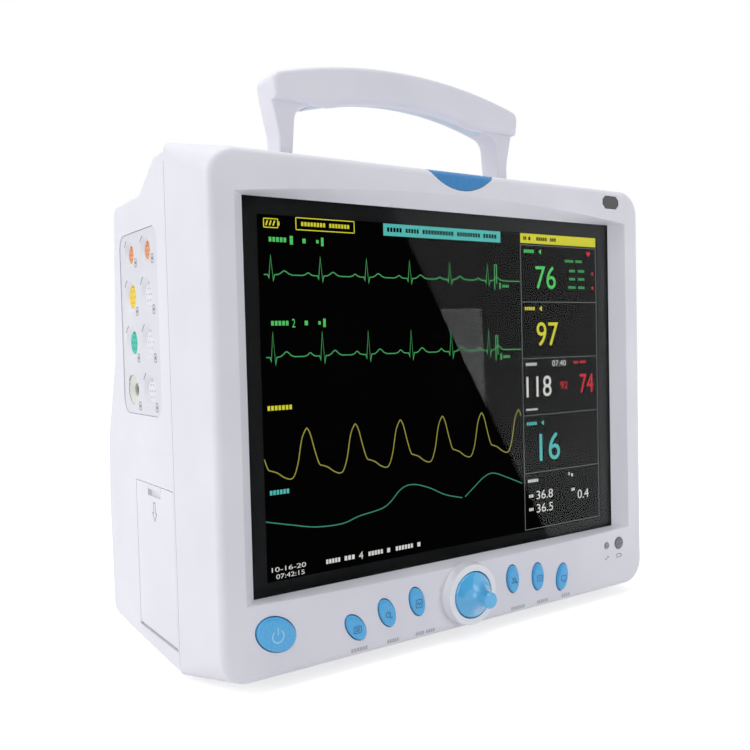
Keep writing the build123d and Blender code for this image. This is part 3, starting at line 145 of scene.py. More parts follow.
# ---- Finishes ---------------------------------------------------------------------------------------------
# Real spark-eroded grain, rubber pits, ink cover and display cells are 0.05 to 0.3 mm across. They are drawn
# several times as coarse here, because finer ones would not show.
@dataclass(frozen=True)
class Finish(ABC):
    """A real material and how its surface was made."""

    name: str

    def material(self) -> bpy.types.Material:
        """Makes this finish's material the first time it is asked for.

        Returns:
            The Blender material.
        """
        found = bpy.data.materials.get(self.name)
        if found is not None:
            return found
        made = blank_material(self.name)
        shader = add_node(made.node_tree, "ShaderNodeBsdfPrincipled")
        add_node(made.node_tree, "ShaderNodeOutputMaterial", links={"Surface": shader.outputs[0]})
        self.wire(made.node_tree, shader)
        return made

    @abstractmethod
    def wire(self, tree: bpy.types.NodeTree, shader: bpy.types.Node) -> None:
        """Builds this finish's own nodes into its shader.

        Args:
            tree: The material's node tree.
            shader: Its shader.
        """

    @staticmethod
    def place(tree: bpy.types.NodeTree, scale: Sequence[float] = (1, 1, 1)) -> bpy.types.NodeSocket:
        """Object coordinates in metres, stretched.

        Args:
            tree: The material's node tree.
            scale: Stretch along X, Y and Z.

        Returns:
            The vector socket.
        """
        spot = add_node(tree, "ShaderNodeTexCoord")
        return add_node(
            tree, "ShaderNodeMapping", {"Scale": tuple(scale)}, {"Vector": spot.outputs["Object"]}
        ).outputs[0]

    @staticmethod
    def noise(
        tree: bpy.types.NodeTree, spot: bpy.types.NodeSocket, size_mm: float, detail: float = 2.0
    ) -> bpy.types.NodeSocket:
        """A noise whose blotches are about size_mm across.

        Args:
            tree: The material's node tree.
            spot: Coordinates in metres.
            size_mm: Width of a blotch.
            detail: Number of finer octaves.

        Returns:
            The noise's value, about 0.3 to 0.7.
        """
        settings = {"Scale": 1 / (size_mm * MM), "Detail": detail, "Roughness": 0.55}
        return add_node(tree, "ShaderNodeTexNoise", settings, {"Vector": spot}).outputs["Fac"]

    @staticmethod
    def remap(
        tree: bpy.types.NodeTree,
        value: bpy.types.NodeSocket,
        low: float,
        high: float,
        start: float = 0.3,
        end: float = 0.7,
    ) -> bpy.types.NodeSocket:
        """Turns the span from start to end of a value into the span from low to high."""
        settings = {"From Min": start, "From Max": end, "To Min": low, "To Max": high}
        return add_node(tree, "ShaderNodeMapRange", settings, {"Value": value}).outputs[0]

    @staticmethod
    def tones(
        tree: bpy.types.NodeTree, share: bpy.types.NodeSocket, first: str, second: str
    ) -> bpy.types.NodeSocket:
        """A colour between two hex colours, by a share from 0 to 1."""
        settings = {"data_type": "RGBA", MIX_FIRST: linear(first), MIX_SECOND: linear(second)}
        return add_node(tree, "ShaderNodeMix", settings, {MIX_SHARE: share}).outputs[MIX_COLOUR]

    @staticmethod
    def relief(
        tree: bpy.types.NodeTree, shader: bpy.types.Node, height: bpy.types.NodeSocket, depth_mm: float
    ) -> None:
        """Bumps the shader's surface.

        Args:
            tree: The material's node tree.
            shader: The shader to bump.
            height: The height pattern, from 0 to 1.
            depth_mm: The pattern's full depth.
        """
        settings = {"Distance": depth_mm * MM, "Strength": 1.0}
        bump = add_node(tree, "ShaderNodeBump", settings, {"Height": height})
        tree.links.new(bump.outputs[0], shader.inputs["Normal"])


@dataclass(frozen=True)
class MouldedPlastic(Finish):
    """Injection-moulded plastic: an even colour with a faint flow mottle, over a spark-eroded grain."""

    colour: str
    shade: str
    roughness: float = 0.42
    spread: float = 0.06
    grain_mm: float = 0.9
    grain_depth_mm: float = 0.012
    mottle_mm: float = 60.0
    coat: float = 0.0
    specular: float = 0.5
    dust: str = ""
    painted_shade_reach_mm: float = 2.6
    painted_shade_span: Point = (0.35, 0.92)
    painted_shade_samples: int = 12
    ior: float = 1.5
    coat_roughness: float = 0.12

    def wire(self, tree: bpy.types.NodeTree, shader: bpy.types.Node) -> None:
        """Flow mottle in the colour, grain in bump and roughness, and painted shade in narrow recesses.

        Args:
            tree: The material's node tree.
            shader: Its shader.
        """
        spot = self.place(tree)
        mottle = self.noise(tree, spot, self.mottle_mm)
        grain = self.noise(tree, spot, self.grain_mm, 3.0)
        colour = self.tones(tree, self.remap(tree, mottle, 0, 1), self.colour, self.shade)
        # Painted shade: where ambient occlusion finds nearby surfaces, the colour is mixed toward a darker
        # tone.
        if self.dust:
            reach = {"samples": self.painted_shade_samples, "Distance": self.painted_shade_reach_mm * MM}
            open_air = add_node(tree, "ShaderNodeAmbientOcclusion", reach).outputs["AO"]
            share = self.remap(tree, open_air, 1.0, 0.0, *self.painted_shade_span)
            settings = {"data_type": "RGBA", MIX_SECOND: linear(self.dust)}
            links = {MIX_SHARE: share, MIX_FIRST: colour}
            colour = add_node(tree, "ShaderNodeMix", settings, links).outputs[MIX_COLOUR]
        tree.links.new(colour, shader.inputs["Base Color"])
        rough = self.remap(tree, grain, self.roughness - self.spread, self.roughness + self.spread)
        tree.links.new(rough, shader.inputs["Roughness"])
        self.relief(tree, shader, grain, self.grain_depth_mm)
        shader.inputs["IOR"].default_value = self.ior
        shader.inputs["Specular IOR Level"].default_value = self.specular
        shader.inputs["Coat Weight"].default_value = self.coat
        shader.inputs["Coat Roughness"].default_value = self.coat_roughness


@dataclass(frozen=True)
class PrismLens(Finish):
    """Clear tinted polycarbonate with moulded prism lines on its back that spread a lamp's light.

    prism_mm is one radian of the prism wave, so the lines stand about six times as far apart.
    """

    colour: str
    deep: str
    prism_mm: float = 1.6
    glow: float = 0.0
    sideways: bool = False
    ridge_mm: float = 0.01
    coat: float = 0.4
    haze_mm: float = 9.0
    haze_share: float = 0.35
    ior: float = 1.58
    depth_weight: float = 0.25
    depth_reach: tuple[float, float, float] = (0.002, 0.003, 0.006)
    depth_scale: float = 0.5
    coat_roughness: float = 0.05

    def wire(self, tree: bpy.types.NodeTree, shader: bpy.types.Node) -> None:
        """Prism lines in colour and bump under a clear coat.

        Args:
            tree: The material's node tree.
            shader: Its shader.
        """
        spot = self.place(tree)
        settings = {
            "wave_type": "BANDS",
            "bands_direction": "X" if self.sideways else "Z",
            "Scale": 1 / (self.prism_mm * MM) / WAVE_PHASE,
            "Distortion": 0.0,
        }
        prism = add_node(tree, "ShaderNodeTexWave", settings, {"Vector": spot}).outputs["Fac"]
        haze = self.remap(tree, self.noise(tree, spot, self.haze_mm), 0.0, 0.5)
        mixing = {"operation": "MULTIPLY_ADD", 1: self.haze_share}
        share = add_node(tree, "ShaderNodeMath", mixing, {0: prism, 2: haze})
        colour = self.tones(tree, share.outputs[0], self.colour, self.deep)
        tree.links.new(colour, shader.inputs["Base Color"])
        tree.links.new(self.remap(tree, prism, 0.24, 0.34, 0, 1), shader.inputs["Roughness"])
        self.relief(tree, shader, prism, self.ridge_mm)
        shader.inputs["Subsurface Weight"].default_value = self.depth_weight
        shader.inputs["Subsurface Radius"].default_value = self.depth_reach
        shader.inputs["Subsurface Scale"].default_value = self.depth_scale
        shader.inputs["IOR"].default_value = self.ior
        shader.inputs["Coat Weight"].default_value = self.coat
        shader.inputs["Coat Roughness"].default_value = self.coat_roughness
        if self.glow:
            tree.links.new(colour, shader.inputs["Emission Color"])
            shader.inputs["Emission Strength"].default_value = self.glow


@dataclass(frozen=True)
class ScreenInk(Finish):
    """A lit area of the display: thousands of tiny cells, so a stroke is a little uneven along its length."""

    colour: str
    glow: float = 1.0
    cell_mm: float = 0.9
    dim_share: float = 0.86

    def wire(self, tree: bpy.types.NodeTree, shader: bpy.types.Node) -> None:
        """A lit colour that wavers slightly from cell to cell.

        Args:
            tree: The material's node tree.
            shader: Its shader.
        """
        cells = self.noise(tree, self.place(tree), self.cell_mm)
        parts = (int(self.colour.lstrip("#")[i:i + 2], 16) for i in (0, 2, 4))
        dim = "#" + "".join(f"{int(part * self.dim_share):02X}" for part in parts)
        colour = self.tones(tree, self.remap(tree, cells, 0, 1), self.colour, dim)
        tree.links.new(colour, shader.inputs["Emission Color"])
        shader.inputs["Emission Strength"].default_value = self.glow
        shader.inputs["Base Color"].default_value = (0.0, 0.0, 0.0, 1.0)
        tree.links.new(self.remap(tree, cells, 0.5, 0.7), shader.inputs["Roughness"])
        shader.inputs["Specular IOR Level"].default_value = 0.0


@dataclass(frozen=True)
class CoatedGlass(Finish):
    """Float glass with a vapour-laid anti-reflection coating, so it mirrors only a little of the room."""

    tint: str
    ior: float
    wave_mm: float = 45.0
    haze: float = 0.012

    def wire(self, tree: bpy.types.NodeTree, shader: bpy.types.Node) -> None:
        """Clear glass whose faint polishing waves show in its reflections.

        Args:
            tree: The material's node tree.
            shader: Its shader.
        """
        wave = self.noise(tree, self.place(tree), self.wave_mm, 0.0)
        shader.inputs["Base Color"].default_value = linear(self.tint)
        shader.inputs["Transmission Weight"].default_value = 1.0
        shader.inputs["IOR"].default_value = self.ior
        tree.links.new(self.remap(tree, wave, 0.0, self.haze), shader.inputs["Roughness"])


@dataclass(frozen=True)
class MetalSheet(Finish):
    """Rolled or turned metal: fine lines along one direction, with a cloudy bloom from plating."""

    colour: str
    bloom: str
    roughness: float
    line_mm: float = 0.7
    stretch: tuple[float, float, float] = (0.04, 1.0, 1.0)
    bloom_mm: float = 14.0
    line_depth_mm: float = 0.006

    def wire(self, tree: bpy.types.NodeTree, shader: bpy.types.Node) -> None:
        """Lines in bump and roughness, bloom in the colour.

        Args:
            tree: The material's node tree.
            shader: Its shader.
        """
        lines = self.noise(tree, self.place(tree, self.stretch), self.line_mm, 3.0)
        cloud = self.noise(tree, self.place(tree), self.bloom_mm)
        colour = self.tones(tree, self.remap(tree, cloud, 0, 1), self.colour, self.bloom)
        tree.links.new(colour, shader.inputs["Base Color"])
        rough = self.remap(tree, lines, self.roughness - 0.08, self.roughness + 0.1)
        tree.links.new(rough, shader.inputs["Roughness"])
        self.relief(tree, shader, lines, self.line_depth_mm)
        shader.inputs["Metallic"].default_value = 1.0


@dataclass(frozen=True)
class MouldedRubber(Finish):
    """Compression-moulded rubber: matt, finely pitted, with a dusty bloom where it has been handled."""

    colour: str
    bloom: str
    roughness: float = 0.72
    pit_mm: float = 0.8
    pit_depth_mm: float = 0.02
    bloom_mm: float = 11.0
    ior: float = 1.52
    sheen: float = 0.15

    def wire(self, tree: bpy.types.NodeTree, shader: bpy.types.Node) -> None:
        """Pits in bump and roughness, bloom in colour and sheen.

        Args:
            tree: The material's node tree.
            shader: Its shader.
        """
        spot = self.place(tree)
        pits = add_node(
            tree, "ShaderNodeTexVoronoi", {"Scale": 1 / (self.pit_mm * MM)}, {"Vector": spot}
        ).outputs["Distance"]
        dust = self.noise(tree, spot, self.bloom_mm, 3.0)
        colour = self.tones(tree, self.remap(tree, dust, 0, 1), self.colour, self.bloom)
        tree.links.new(colour, shader.inputs["Base Color"])
        rough = self.remap(tree, pits, self.roughness - 0.08, self.roughness + 0.08, 0, 1)
        tree.links.new(rough, shader.inputs["Roughness"])
        self.relief(tree, shader, pits, self.pit_depth_mm)
        shader.inputs["IOR"].default_value = self.ior
        shader.inputs["Sheen Weight"].default_value = self.sheen


@dataclass(frozen=True)
class CircuitBoard(Finish):
    """Glass-epoxy board under green solder mask: the copper below shows as slightly lighter tracks."""

    mask: str
    copper: str
    track_mm: float = 3.0
    track_depth_mm: float = 0.03

    def wire(self, tree: bpy.types.NodeTree, shader: bpy.types.Node) -> None:
        """Tracks and pads in the colour and a glossy lacquer over them.

        Args:
            tree: The material's node tree.
            shader: Its shader.
        """
        spot = self.place(tree)
        tracks = add_node(
            tree,
            "ShaderNodeTexVoronoi",
            {"Scale": 1 / (self.track_mm * MM), "distance": "MANHATTAN"},
            {"Vector": spot},
        ).outputs["Distance"]
        colour = self.tones(tree, self.remap(tree, tracks, 0, 1, 0.25, 0.35), self.copper, self.mask)
        tree.links.new(colour, shader.inputs["Base Color"])
        tree.links.new(self.remap(tree, tracks, 0.3, 0.42, 0, 1), shader.inputs["Roughness"])
        self.relief(tree, shader, tracks, self.track_depth_mm)


@dataclass(frozen=True)
class CoatedPaper(Finish):
    """Heat-sensitive chart paper: a smooth clay coat over short fibres."""

    colour: str
    edge: str
    fibre_mm: float = 0.9
    fibre_depth_mm: float = 0.02
    gloss_mm: float = 20.0

    def wire(self, tree: bpy.types.NodeTree, shader: bpy.types.Node) -> None:
        """Fibre fleck in the colour and a soft bump.

        Args:
            tree: The material's node tree.
            shader: Its shader.
        """
        spot = self.place(tree)
        fibre = self.noise(tree, self.place(tree, (1, 0.2, 1)), self.fibre_mm, 4.0)
        colour = self.tones(tree, self.remap(tree, fibre, 0, 1), self.colour, self.edge)
        tree.links.new(colour, shader.inputs["Base Color"])
        rough = self.remap(tree, self.noise(tree, spot, self.gloss_mm), 0.5, 0.62)
        tree.links.new(rough, shader.inputs["Roughness"])
        self.relief(tree, shader, fibre, self.fibre_depth_mm)


@dataclass(frozen=True)
class PrintedMark(Finish):
    """Pad-printed ink: a thin matt film with slightly uneven cover."""

    colour: str
    thin: str
    roughness: float = 0.5
    cover_mm: float = 0.8
    film_mm: float = 0.004

    def wire(self, tree: bpy.types.NodeTree, shader: bpy.types.Node) -> None:
        """Uneven cover in the colour and roughness.

        Args:
            tree: The material's node tree.
            shader: Its shader.
        """
        cover = self.noise(tree, self.place(tree), self.cover_mm, 3.0)
        colour = self.tones(tree, self.remap(tree, cover, 0, 1), self.colour, self.thin)
        tree.links.new(colour, shader.inputs["Base Color"])
        rough = self.remap(tree, cover, self.roughness - 0.06, self.roughness + 0.08)
        tree.links.new(rough, shader.inputs["Roughness"])
        self.relief(tree, shader, cover, self.film_mm)


# The case: ABS and polycarbonate blend, moulded with a fine spark-eroded grain. Reads as a soft near-white.
CASE_PLASTIC = MouldedPlastic("abs_blend_moulded_white", "#E9E9F0", "#E2E2EA", roughness=0.46)
# The bezel and handle: the same blend, a touch smoother. Reads as near-white, with broad soft highlights.
BEZEL_PLASTIC = MouldedPlastic("abs_blend_moulded_cool_white", "#E9E8F0", "#E2E1EA", roughness=0.40)
# The collar round the knob: gloss-moulded, so it is the brightest white on the front.
COLLAR_PLASTIC = MouldedPlastic(
    "abs_gloss_moulded_white", "#F8F8FC", "#F1F1F6", roughness=0.24, grain_depth_mm=0.002
)
# The socket panel: a smoother, greyer moulding. Its wells get painted shade, a darker grey mixed in by
# ambient occlusion, so that they read as hollows.
PANEL_PLASTIC = MouldedPlastic(
    "abs_moulded_panel_grey", "#DFDFE7", "#D7D8E0", roughness=0.38, grain_mm=0.7, dust="#9C9AA3"
)
# The keys: gloss-moulded blue ABS under a clear hard coat. Reads as even sky blue with a soft sheen.
KEY_PLASTIC = MouldedPlastic(
    "abs_moulded_sky_blue", "#50B4EE", "#49ADE8", roughness=0.28, spread=0.02, grain_depth_mm=0.0004, coat=0.3
)
# The knob: the same blue, polished, so its trumpet shows a bright streak.
KNOB_PLASTIC = MouldedPlastic(
    "abs_polished_sky_blue", "#58BBF2", "#53B6EE", roughness=0.2, spread=0.02, grain_depth_mm=0.0005, coat=0.6
)
# Connector bodies: glass-filled nylon, each lead's colour through and through, slightly dull.
NYLON_ORANGE = MouldedPlastic("nylon_moulded_orange", "#EC9A62", "#E48F55", roughness=0.4, mottle_mm=6.0)
NYLON_YELLOW = MouldedPlastic("nylon_moulded_yellow", "#F5D20C", "#ECC608", roughness=0.4, mottle_mm=6.0)
NYLON_TEAL = MouldedPlastic("nylon_moulded_teal", "#06C4AC", "#04B8A2", roughness=0.4, mottle_mm=6.0)
NYLON_WHITE = MouldedPlastic("nylon_moulded_white", "#E9E9F2", "#E0E0EA", roughness=0.4, mottle_mm=6.0)
# The cuff port: turned acetal, waxy and slightly green-white.
ACETAL = MouldedPlastic(
    "acetal_turned_ivory", "#DDE0D6", "#D2D6CA", roughness=0.3, mottle_mm=5.0, grain_mm=0.5
)
# Boxes and connectors out of the way: black flame-retardant nylon, satin with pale scuffs.
BLACK_NYLON = MouldedPlastic("nylon_moulded_black", "#141416", "#1E1E21", roughness=0.45, mottle_mm=9.0)
# The infrared window: near-black acrylic that reads as a dark shiny gap.
INFRARED_ACRYLIC = MouldedPlastic(
    "acrylic_moulded_infrared_black", "#3A3B42", "#2E2F35", roughness=0.12, grain_depth_mm=0.001, coat=0.6
)
# Cells in their shrunk sleeve: dark blue-grey PVC with a wrinkled gloss.
SHRINK_SLEEVE = MouldedPlastic(
    "pvc_shrunk_blue_grey", "#2A3440", "#222B36", roughness=0.3, grain_mm=5.0, grain_depth_mm=0.12
)
# The display's mask and module: matt black lacquer on glass and a folded steel tray.
DISPLAY_MASK = MouldedPlastic(
    "lacquer_screened_black", "#0B0B0C", "#0E0E10", roughness=0.55, grain_depth_mm=0.002, specular=0.03
)
# The alarm lamp unlit: deep blue polycarbonate whose inner prisms only just show.
ALARM_LENS = PrismLens(
    "polycarbonate_moulded_alarm_blue", "#1F84C6", "#1C7EBE",
    prism_mm=0.8, sideways=True, ridge_mm=0.001, coat=0.1,
)
# The two small lamps unlit: clear and smoked polycarbonate that read as shiny grey dots.
MAINS_LENS = PrismLens("polycarbonate_moulded_mains_clear", "#8F959E", "#6C727B", 0.8)
CHARGE_LENS = PrismLens("polycarbonate_moulded_charge_grey", "#6E6E76", "#4E4E56", 0.8)
# The screen's glass: an IOR below plain glass's 1.5 gives the weak mirror of its coating, over a deep black.
SCREEN_GLASS = CoatedGlass("float_glass_antireflection", "#F4F7F8", 1.17)
# Sheet steel with bright zinc: cool grey, cloudy, with rolling lines along its length.
ZINC_STEEL = MetalSheet("steel_zinc_plated", "#B9BDC2", "#A7ACB2", 0.38)
# Ground steel pins and screws: brighter, with fine turned lines.
GROUND_STEEL = MetalSheet("steel_ground", "#C4C6C9", "#B4B7BB", 0.24, 0.4, (1.0, 0.05, 1.0))
# Turned brass under a worn nickel flash: warm, dull in its grooves.
TURNED_BRASS = MetalSheet("brass_turned", "#CDB06A", "#B89A55", 0.3, 0.4, (1.0, 0.05, 1.0))
# Glass border: black ceramic ink fired on the back of the glass, so it lies under the glass's own reflection.
BORDER_INK = PrintedMark("ceramic_ink_fired_black", "#0C0C0D", "#0E0E0F", 0.8)
# Gold-flashed contacts: small warm glints in the network socket.
GOLD_CONTACT = MetalSheet("brass_gold_flashed", "#E6D9B8", "#D9C8A0", 0.26, 0.3, (0.05, 1.0, 1.0))
# Platen and port seal: black nitrile rubber, matt and dusty.
NITRILE = MouldedRubber("nitrile_rubber_moulded_black", "#18181A", "#26262A")
# Painted shade in the parting groove: a grey strip stands for the groove's shadow, so the joint reads as a
# fine line.
GROOVE_SHADE_STRIP = MouldedRubber("painted_groove_shade_grey", "#9A9AA3", "#A4A4AC", 0.6, 0.6)
# Feet: grey non-marking rubber, paler where it has been handled.
FOOT_RUBBER = MouldedRubber("rubber_moulded_non_marking_grey", "#85858B", "#929298")
# The strip under the grip: a pale blue, matt rubber finish.
GRIP_STRIP_PALE_BLUE = MouldedRubber("matt_pale_blue_grip_strip", "#D4E2EE", "#CADBEA", 0.6, 1.2)
# Boards: dark green with lighter tracks.
SOLDER_MASK = CircuitBoard("glass_epoxy_green_mask", "#0F4A2E", "#2C7A4C")
# The chart roll: warm white with a faint fleck.
CHART_PAPER = CoatedPaper("paper_thermal_coated", "#F1F0EC", "#E2E0D8")
# Printed marks: mid grey by the sockets and lamps, pale grey below the keys, dark blue on the keys.
GREY_PRINT = PrintedMark("ink_pad_printed_grey", "#77777F", "#84848C")
PALE_PRINT = PrintedMark("ink_pad_printed_pale_grey", "#B4B4BE", "#C0C0C8")
DARK_PRINT = PrintedMark("ink_pad_printed_dark_blue", "#1E5C88", "#28699A")
# The power button's raised sign: its own blue, painted paler as a highlight on the raised ring.
PAINTED_HIGHLIGHT_BLUE = PrintedMark("abs_embossed_blue_painted_highlight", "#A6DAF6", "#98D2F2", 0.32)
# The battery's silver film label and its white woven pull.
LABEL_FILM = PrintedMark("polyester_film_silver", "#A9AFB6", "#9BA1A9", 0.35)
PULL_RIBBON = PrintedMark("nylon_ribbon_woven_white", "#D8D8D4", "#C4C4C0", 0.8)
# Display cells, lit and unlit: clear colours for figures, softer ones for traces and frames.
GREEN_INK = ScreenInk("display_cells_green", "#5FE070", 0.9)
TRACE_GREEN = ScreenInk("display_cells_trace_green", "#56C070", 0.8)
YELLOW_INK = ScreenInk("display_cells_yellow", "#E9E23C", 0.95)
TRACE_OLIVE = ScreenInk("display_cells_trace_olive", "#B3AE52", 0.8)
CYAN_INK = ScreenInk("display_cells_cyan", "#62D6CE", 0.85)
TRACE_TEAL = ScreenInk("display_cells_trace_teal", "#47A08A", 0.8)
WHITE_INK = ScreenInk("display_cells_white", "#EDEDE6", 0.95)
GREY_INK = ScreenInk("display_cells_frame_grey", "#8E9496", 0.7)
RED_INK = ScreenInk("display_cells_red", "#E0303C", 0.95)
BLACK_INK = ScreenInk("display_cells_unlit", "#050404", 0.9, 3.0)


# ---- Mesh making ------------------------------------------------------------------------------------------
@dataclass(frozen=True)
class Bench:
    """A flat plane that shapes are drawn on: across and up lie in it, and out points off the surface."""

    origin: Vector
    across: Vector
    up: Vector

    @property
    def out(self) -> Vector:
        """The direction away from the surface."""
        return self.across.cross(self.up)

    def at(self, x_mm: float, y_mm: float, lift_mm: float = 0.0) -> Vector:
        """The point at x across and y up, in millimetres, lifted off the surface."""
        return self.origin + (self.across * x_mm + self.up * y_mm + self.out * lift_mm) * MM

    def moved(self, x_mm: float, y_mm: float, tilt_deg: float = 0.0) -> "Bench":
        """This plane with its origin moved and its axes turned anticlockwise by tilt_deg."""
        turn = Matrix.Rotation(math.radians(tilt_deg), 3, self.out)
        return Bench(self.at(x_mm, y_mm), turn @ self.across, turn @ self.up)


class Side(Enum):
    """The faces of the case that shapes are drawn on, each with its across direction."""

    FRONT = (1, 0, 0)
    LEFT = (0, -1, 0)
    RIGHT = (0, 1, 0)
    BACK = (-1, 0, 0)

    def bench(self, origin: Vector) -> Bench:
        """A drawing plane on this side through origin."""
        return Bench(origin, Vector(self.value), Vector((0, 0, 1)))


class Shape:
    """Closed solids, gathered into one mesh."""

    # Points nearer than this have no direction between them, and a line that doubles back has no mitre.
    SAME_SPOT = 1e-9
    NO_MITRE = 1e-6
    # A mitre reaches out at most one over this share of half the strip's width.
    MITRE_SHARE = 0.35
    # A disc's softened edge, as shares of its radius and its height.
    SOFT_RADIUS = 0.15
    SOFT_HEIGHT = 0.5
    # A word's blocks: how far apart, as a share of their height, and where each starts and ends in its pitch.
    BLOCK_PITCH = 0.85
    BLOCK_ENDS = (0.14, 0.86)
    RING_STEPS = 32

    def __init__(self, bench: Bench) -> None:
        """Starts empty.

        Args:
            bench: The plane that outlines are drawn on.
        """
        self.bench = bench
        self.mesh = bmesh.new()

    def prism(self, outline: Sequence[Point], low_mm: float, high_mm: float) -> "Shape":
        """Adds a solid with the given convex or star-shaped outline.

        Args:
            outline: Corners, anticlockwise, in millimetres.
            low_mm: Height of its foot above the plane.
            high_mm: Height of its top above the plane.

        Returns:
            This shape.
        """
        foot = [self.mesh.verts.new(self.bench.at(x, y, low_mm)) for x, y in outline]
        top = [self.mesh.verts.new(self.bench.at(x, y, high_mm)) for x, y in outline]
        self.mesh.faces.new(top)
        self.mesh.faces.new(foot[::-1])
        for i, j in zip(range(len(foot)), [*range(1, len(foot)), 0]):
            self.mesh.faces.new((foot[i], foot[j], top[j], top[i]))
        return self

    def bar(self, x: Point, y: Point, high_mm: float, low_mm: float = 0.0) -> "Shape":
        """Adds a block between two limits across and two limits up."""
        return self.prism([(x[0], y[0]), (x[1], y[0]), (x[1], y[1]), (x[0], y[1])], low_mm, high_mm)

    def disc(
        self, centre: Point, radius: float, high_mm: float, low_mm: float = 0.0, steps: int = 24
    ) -> "Shape":
        """Adds a round solid with a slightly softened top edge.

        Args:
            centre: Its middle, in millimetres.
            radius: Its radius in millimetres.
            high_mm: Height of its top above the plane.
            low_mm: Height of its foot above the plane.
            steps: Number of its sides.

        Returns:
            This shape.
        """
        soft = min(self.SOFT_RADIUS * radius, self.SOFT_HEIGHT * (high_mm - low_mm))
        levels = [(radius, low_mm), (radius, high_mm - soft), (radius - soft, high_mm)]
        turns = [math.tau * i / steps for i in range(steps)]
        rings = []
        for r, lift in levels:
            spots = [(centre[0] + r * math.cos(a), centre[1] + r * math.sin(a)) for a in turns]
            rings.append([self.mesh.verts.new(self.bench.at(x, y, lift)) for x, y in spots])
        for low, high in zip(rings, rings[1:]):
            for i in range(steps):
                j = (i + 1) % steps
                self.mesh.faces.new((low[i], low[j], high[j], high[i]))
        self.mesh.faces.new(rings[-1])
        self.mesh.faces.new(rings[0][::-1])
        return self

    def ribbon(
        self,
        line: Sequence[Point],
        width_mm: float,
        high_mm: float,
        low_mm: float = 0.0,
        closed: bool = False,
    ) -> "Shape":
        """Adds a strip of even width along a line, mitred at its corners.

        Args:
            line: The middle of the strip, in millimetres.
            width_mm: The strip's width.
            high_mm: Height of its top above the plane.
            low_mm: Height of its foot above the plane.
            closed: True if the last point joins the first.

        Returns:
            This shape.
        """
        count = len(line)
        rails: list[list[bmesh.types.BMVert]] = []
        for i, spot in enumerate(line):
            before = line[i - 1] if i or closed else spot
            after = line[(i + 1) % count] if i < count - 1 or closed else spot
            first = Vector((spot[0] - before[0], spot[1] - before[1]))
            last = Vector((after[0] - spot[0], after[1] - spot[1]))
            first = (first if first.length > self.SAME_SPOT else last).normalized()
            last = (last if last.length > self.SAME_SPOT else first).normalized()
            along = (first + last).normalized() if (first + last).length > self.NO_MITRE else first
            reach = width_mm / 2 / max(along.dot(last), self.MITRE_SHARE)
            side = (-along.y * reach, along.x * reach)
            corners = [(spot[0] - side[0], spot[1] - side[1]), (spot[0] + side[0], spot[1] + side[1])]
            lifts = (low_mm, high_mm)
            rails.append([self.mesh.verts.new(self.bench.at(x, y, z)) for z in lifts for x, y in corners])
        pairs = list(zip(rails, rails[1:])) + ([(rails[-1], rails[0])] if closed else [])
        for (a, b, c, d), (e, f, g, h) in pairs:
            for face in ((c, g, h, d), (a, b, f, e), (a, e, g, c), (b, d, h, f)):
                self.mesh.faces.new(face)
        if not closed:
            for a, b, c, d in (rails[0], rails[-1]):
                self.mesh.faces.new((a, b, d, c))
        return self

    def blocks(self, span: Point, up: Point, high_mm: float, low_mm: float = 0.0) -> "Shape":
        """Adds a run of small plain blocks that stands for a printed word.

        Args:
            span: The run's limits across.
            up: Its limits up.
            high_mm: Height of the blocks above the plane.
            low_mm: Height of their foot above the plane.

        Returns:
            This shape.
        """
        wide = span[1] - span[0]
        pitch = wide / max(1, round(wide / (self.BLOCK_PITCH * (up[1] - up[0]))))
        near, far = self.BLOCK_ENDS
        start = span[0]
        while start < span[1] - 0.5 * pitch:
            self.bar((start + near * pitch, start + far * pitch), up, high_mm, low_mm)
            start += pitch
        return self

    def ring(
        self, centre: Point, radius: float, width_mm: float, high_mm: float, low_mm: float = 0.0
    ) -> "Shape":
        """Adds a flat ring round a centre."""
        line = arc(centre, radius, 0, 360, self.RING_STEPS)[:-1]
        return self.ribbon(line, width_mm, high_mm, low_mm, closed=True)

    def numerals(self, text: str, x: Point, y: Point, high_mm: float, slant: float = 0.0) -> "Shape":
        """Adds plain numerals that fill a box.

        Args:
            text: Figures, points, colons or dashes.
            x: The box's limits across.
            y: The box's limits up.
            high_mm: Their height above the plane.
            slant: Lean to the right, as a share of their height.

        Returns:
            This shape.
        """
        curve = bpy.data.curves.new("figures", "FONT")
        curve.body = text
        curve.extrude = 0.5
        curve.resolution_u = 5
        written = bpy.data.objects.new("figures", curve)
        made = bpy.data.meshes.new_from_object(written)
        spots = [v.co.copy() for v in made.vertices]
        low = Vector((min(s.x for s in spots), min(s.y for s in spots)))
        size = Vector((max(s.x for s in spots), max(s.y for s in spots))) - low
        verts = []
        for s in spots:
            across = (s.x - low.x) / size.x * (x[1] - x[0])
            up = (s.y - low.y) / size.y * (y[1] - y[0])
            lift = high_mm if s.z > 0 else 0.0
            verts.append(self.mesh.verts.new(self.bench.at(x[0] + across + slant * up, y[0] + up, lift)))
        for face in made.polygons:
            self.mesh.faces.new([verts[i] for i in face.vertices])
        bpy.data.objects.remove(written)
        bpy.data.meshes.remove(made)
        bpy.data.curves.remove(curve)
        return self

    def piece(
        self, name: str, finish: Finish, slot: str, body: str = CASE_BODY, smooth: bool = False
    ) -> bpy.types.Object:
        """Turns the solids into a piece that rides on a body.

        Args:
            name: The piece's name.
            finish: Its finish.
            slot: The record's material slot it belongs to; not used.
            body: The body it moves with.
            smooth: True to shade its gentle angles smooth.

        Returns:
            The new object.
        """
        bmesh.ops.remove_doubles(self.mesh, verts=self.mesh.verts, dist=WELD_DRAWN)
        bmesh.ops.recalc_face_normals(self.mesh, faces=self.mesh.faces)
        data = bpy.data.meshes.new(name)
        self.mesh.to_mesh(data)
        self.mesh.free()
        data.materials.append(finish.material())
        made = shown_object(name, data)
        if smooth:
            data.shade_smooth()
            data.set_sharp_from_angle(angle=math.radians(SMOOTH_DEG))
        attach(made, body)
        LOG.info("%s: %d faces, %s", name, len(data.polygons), finish.name)
        return made


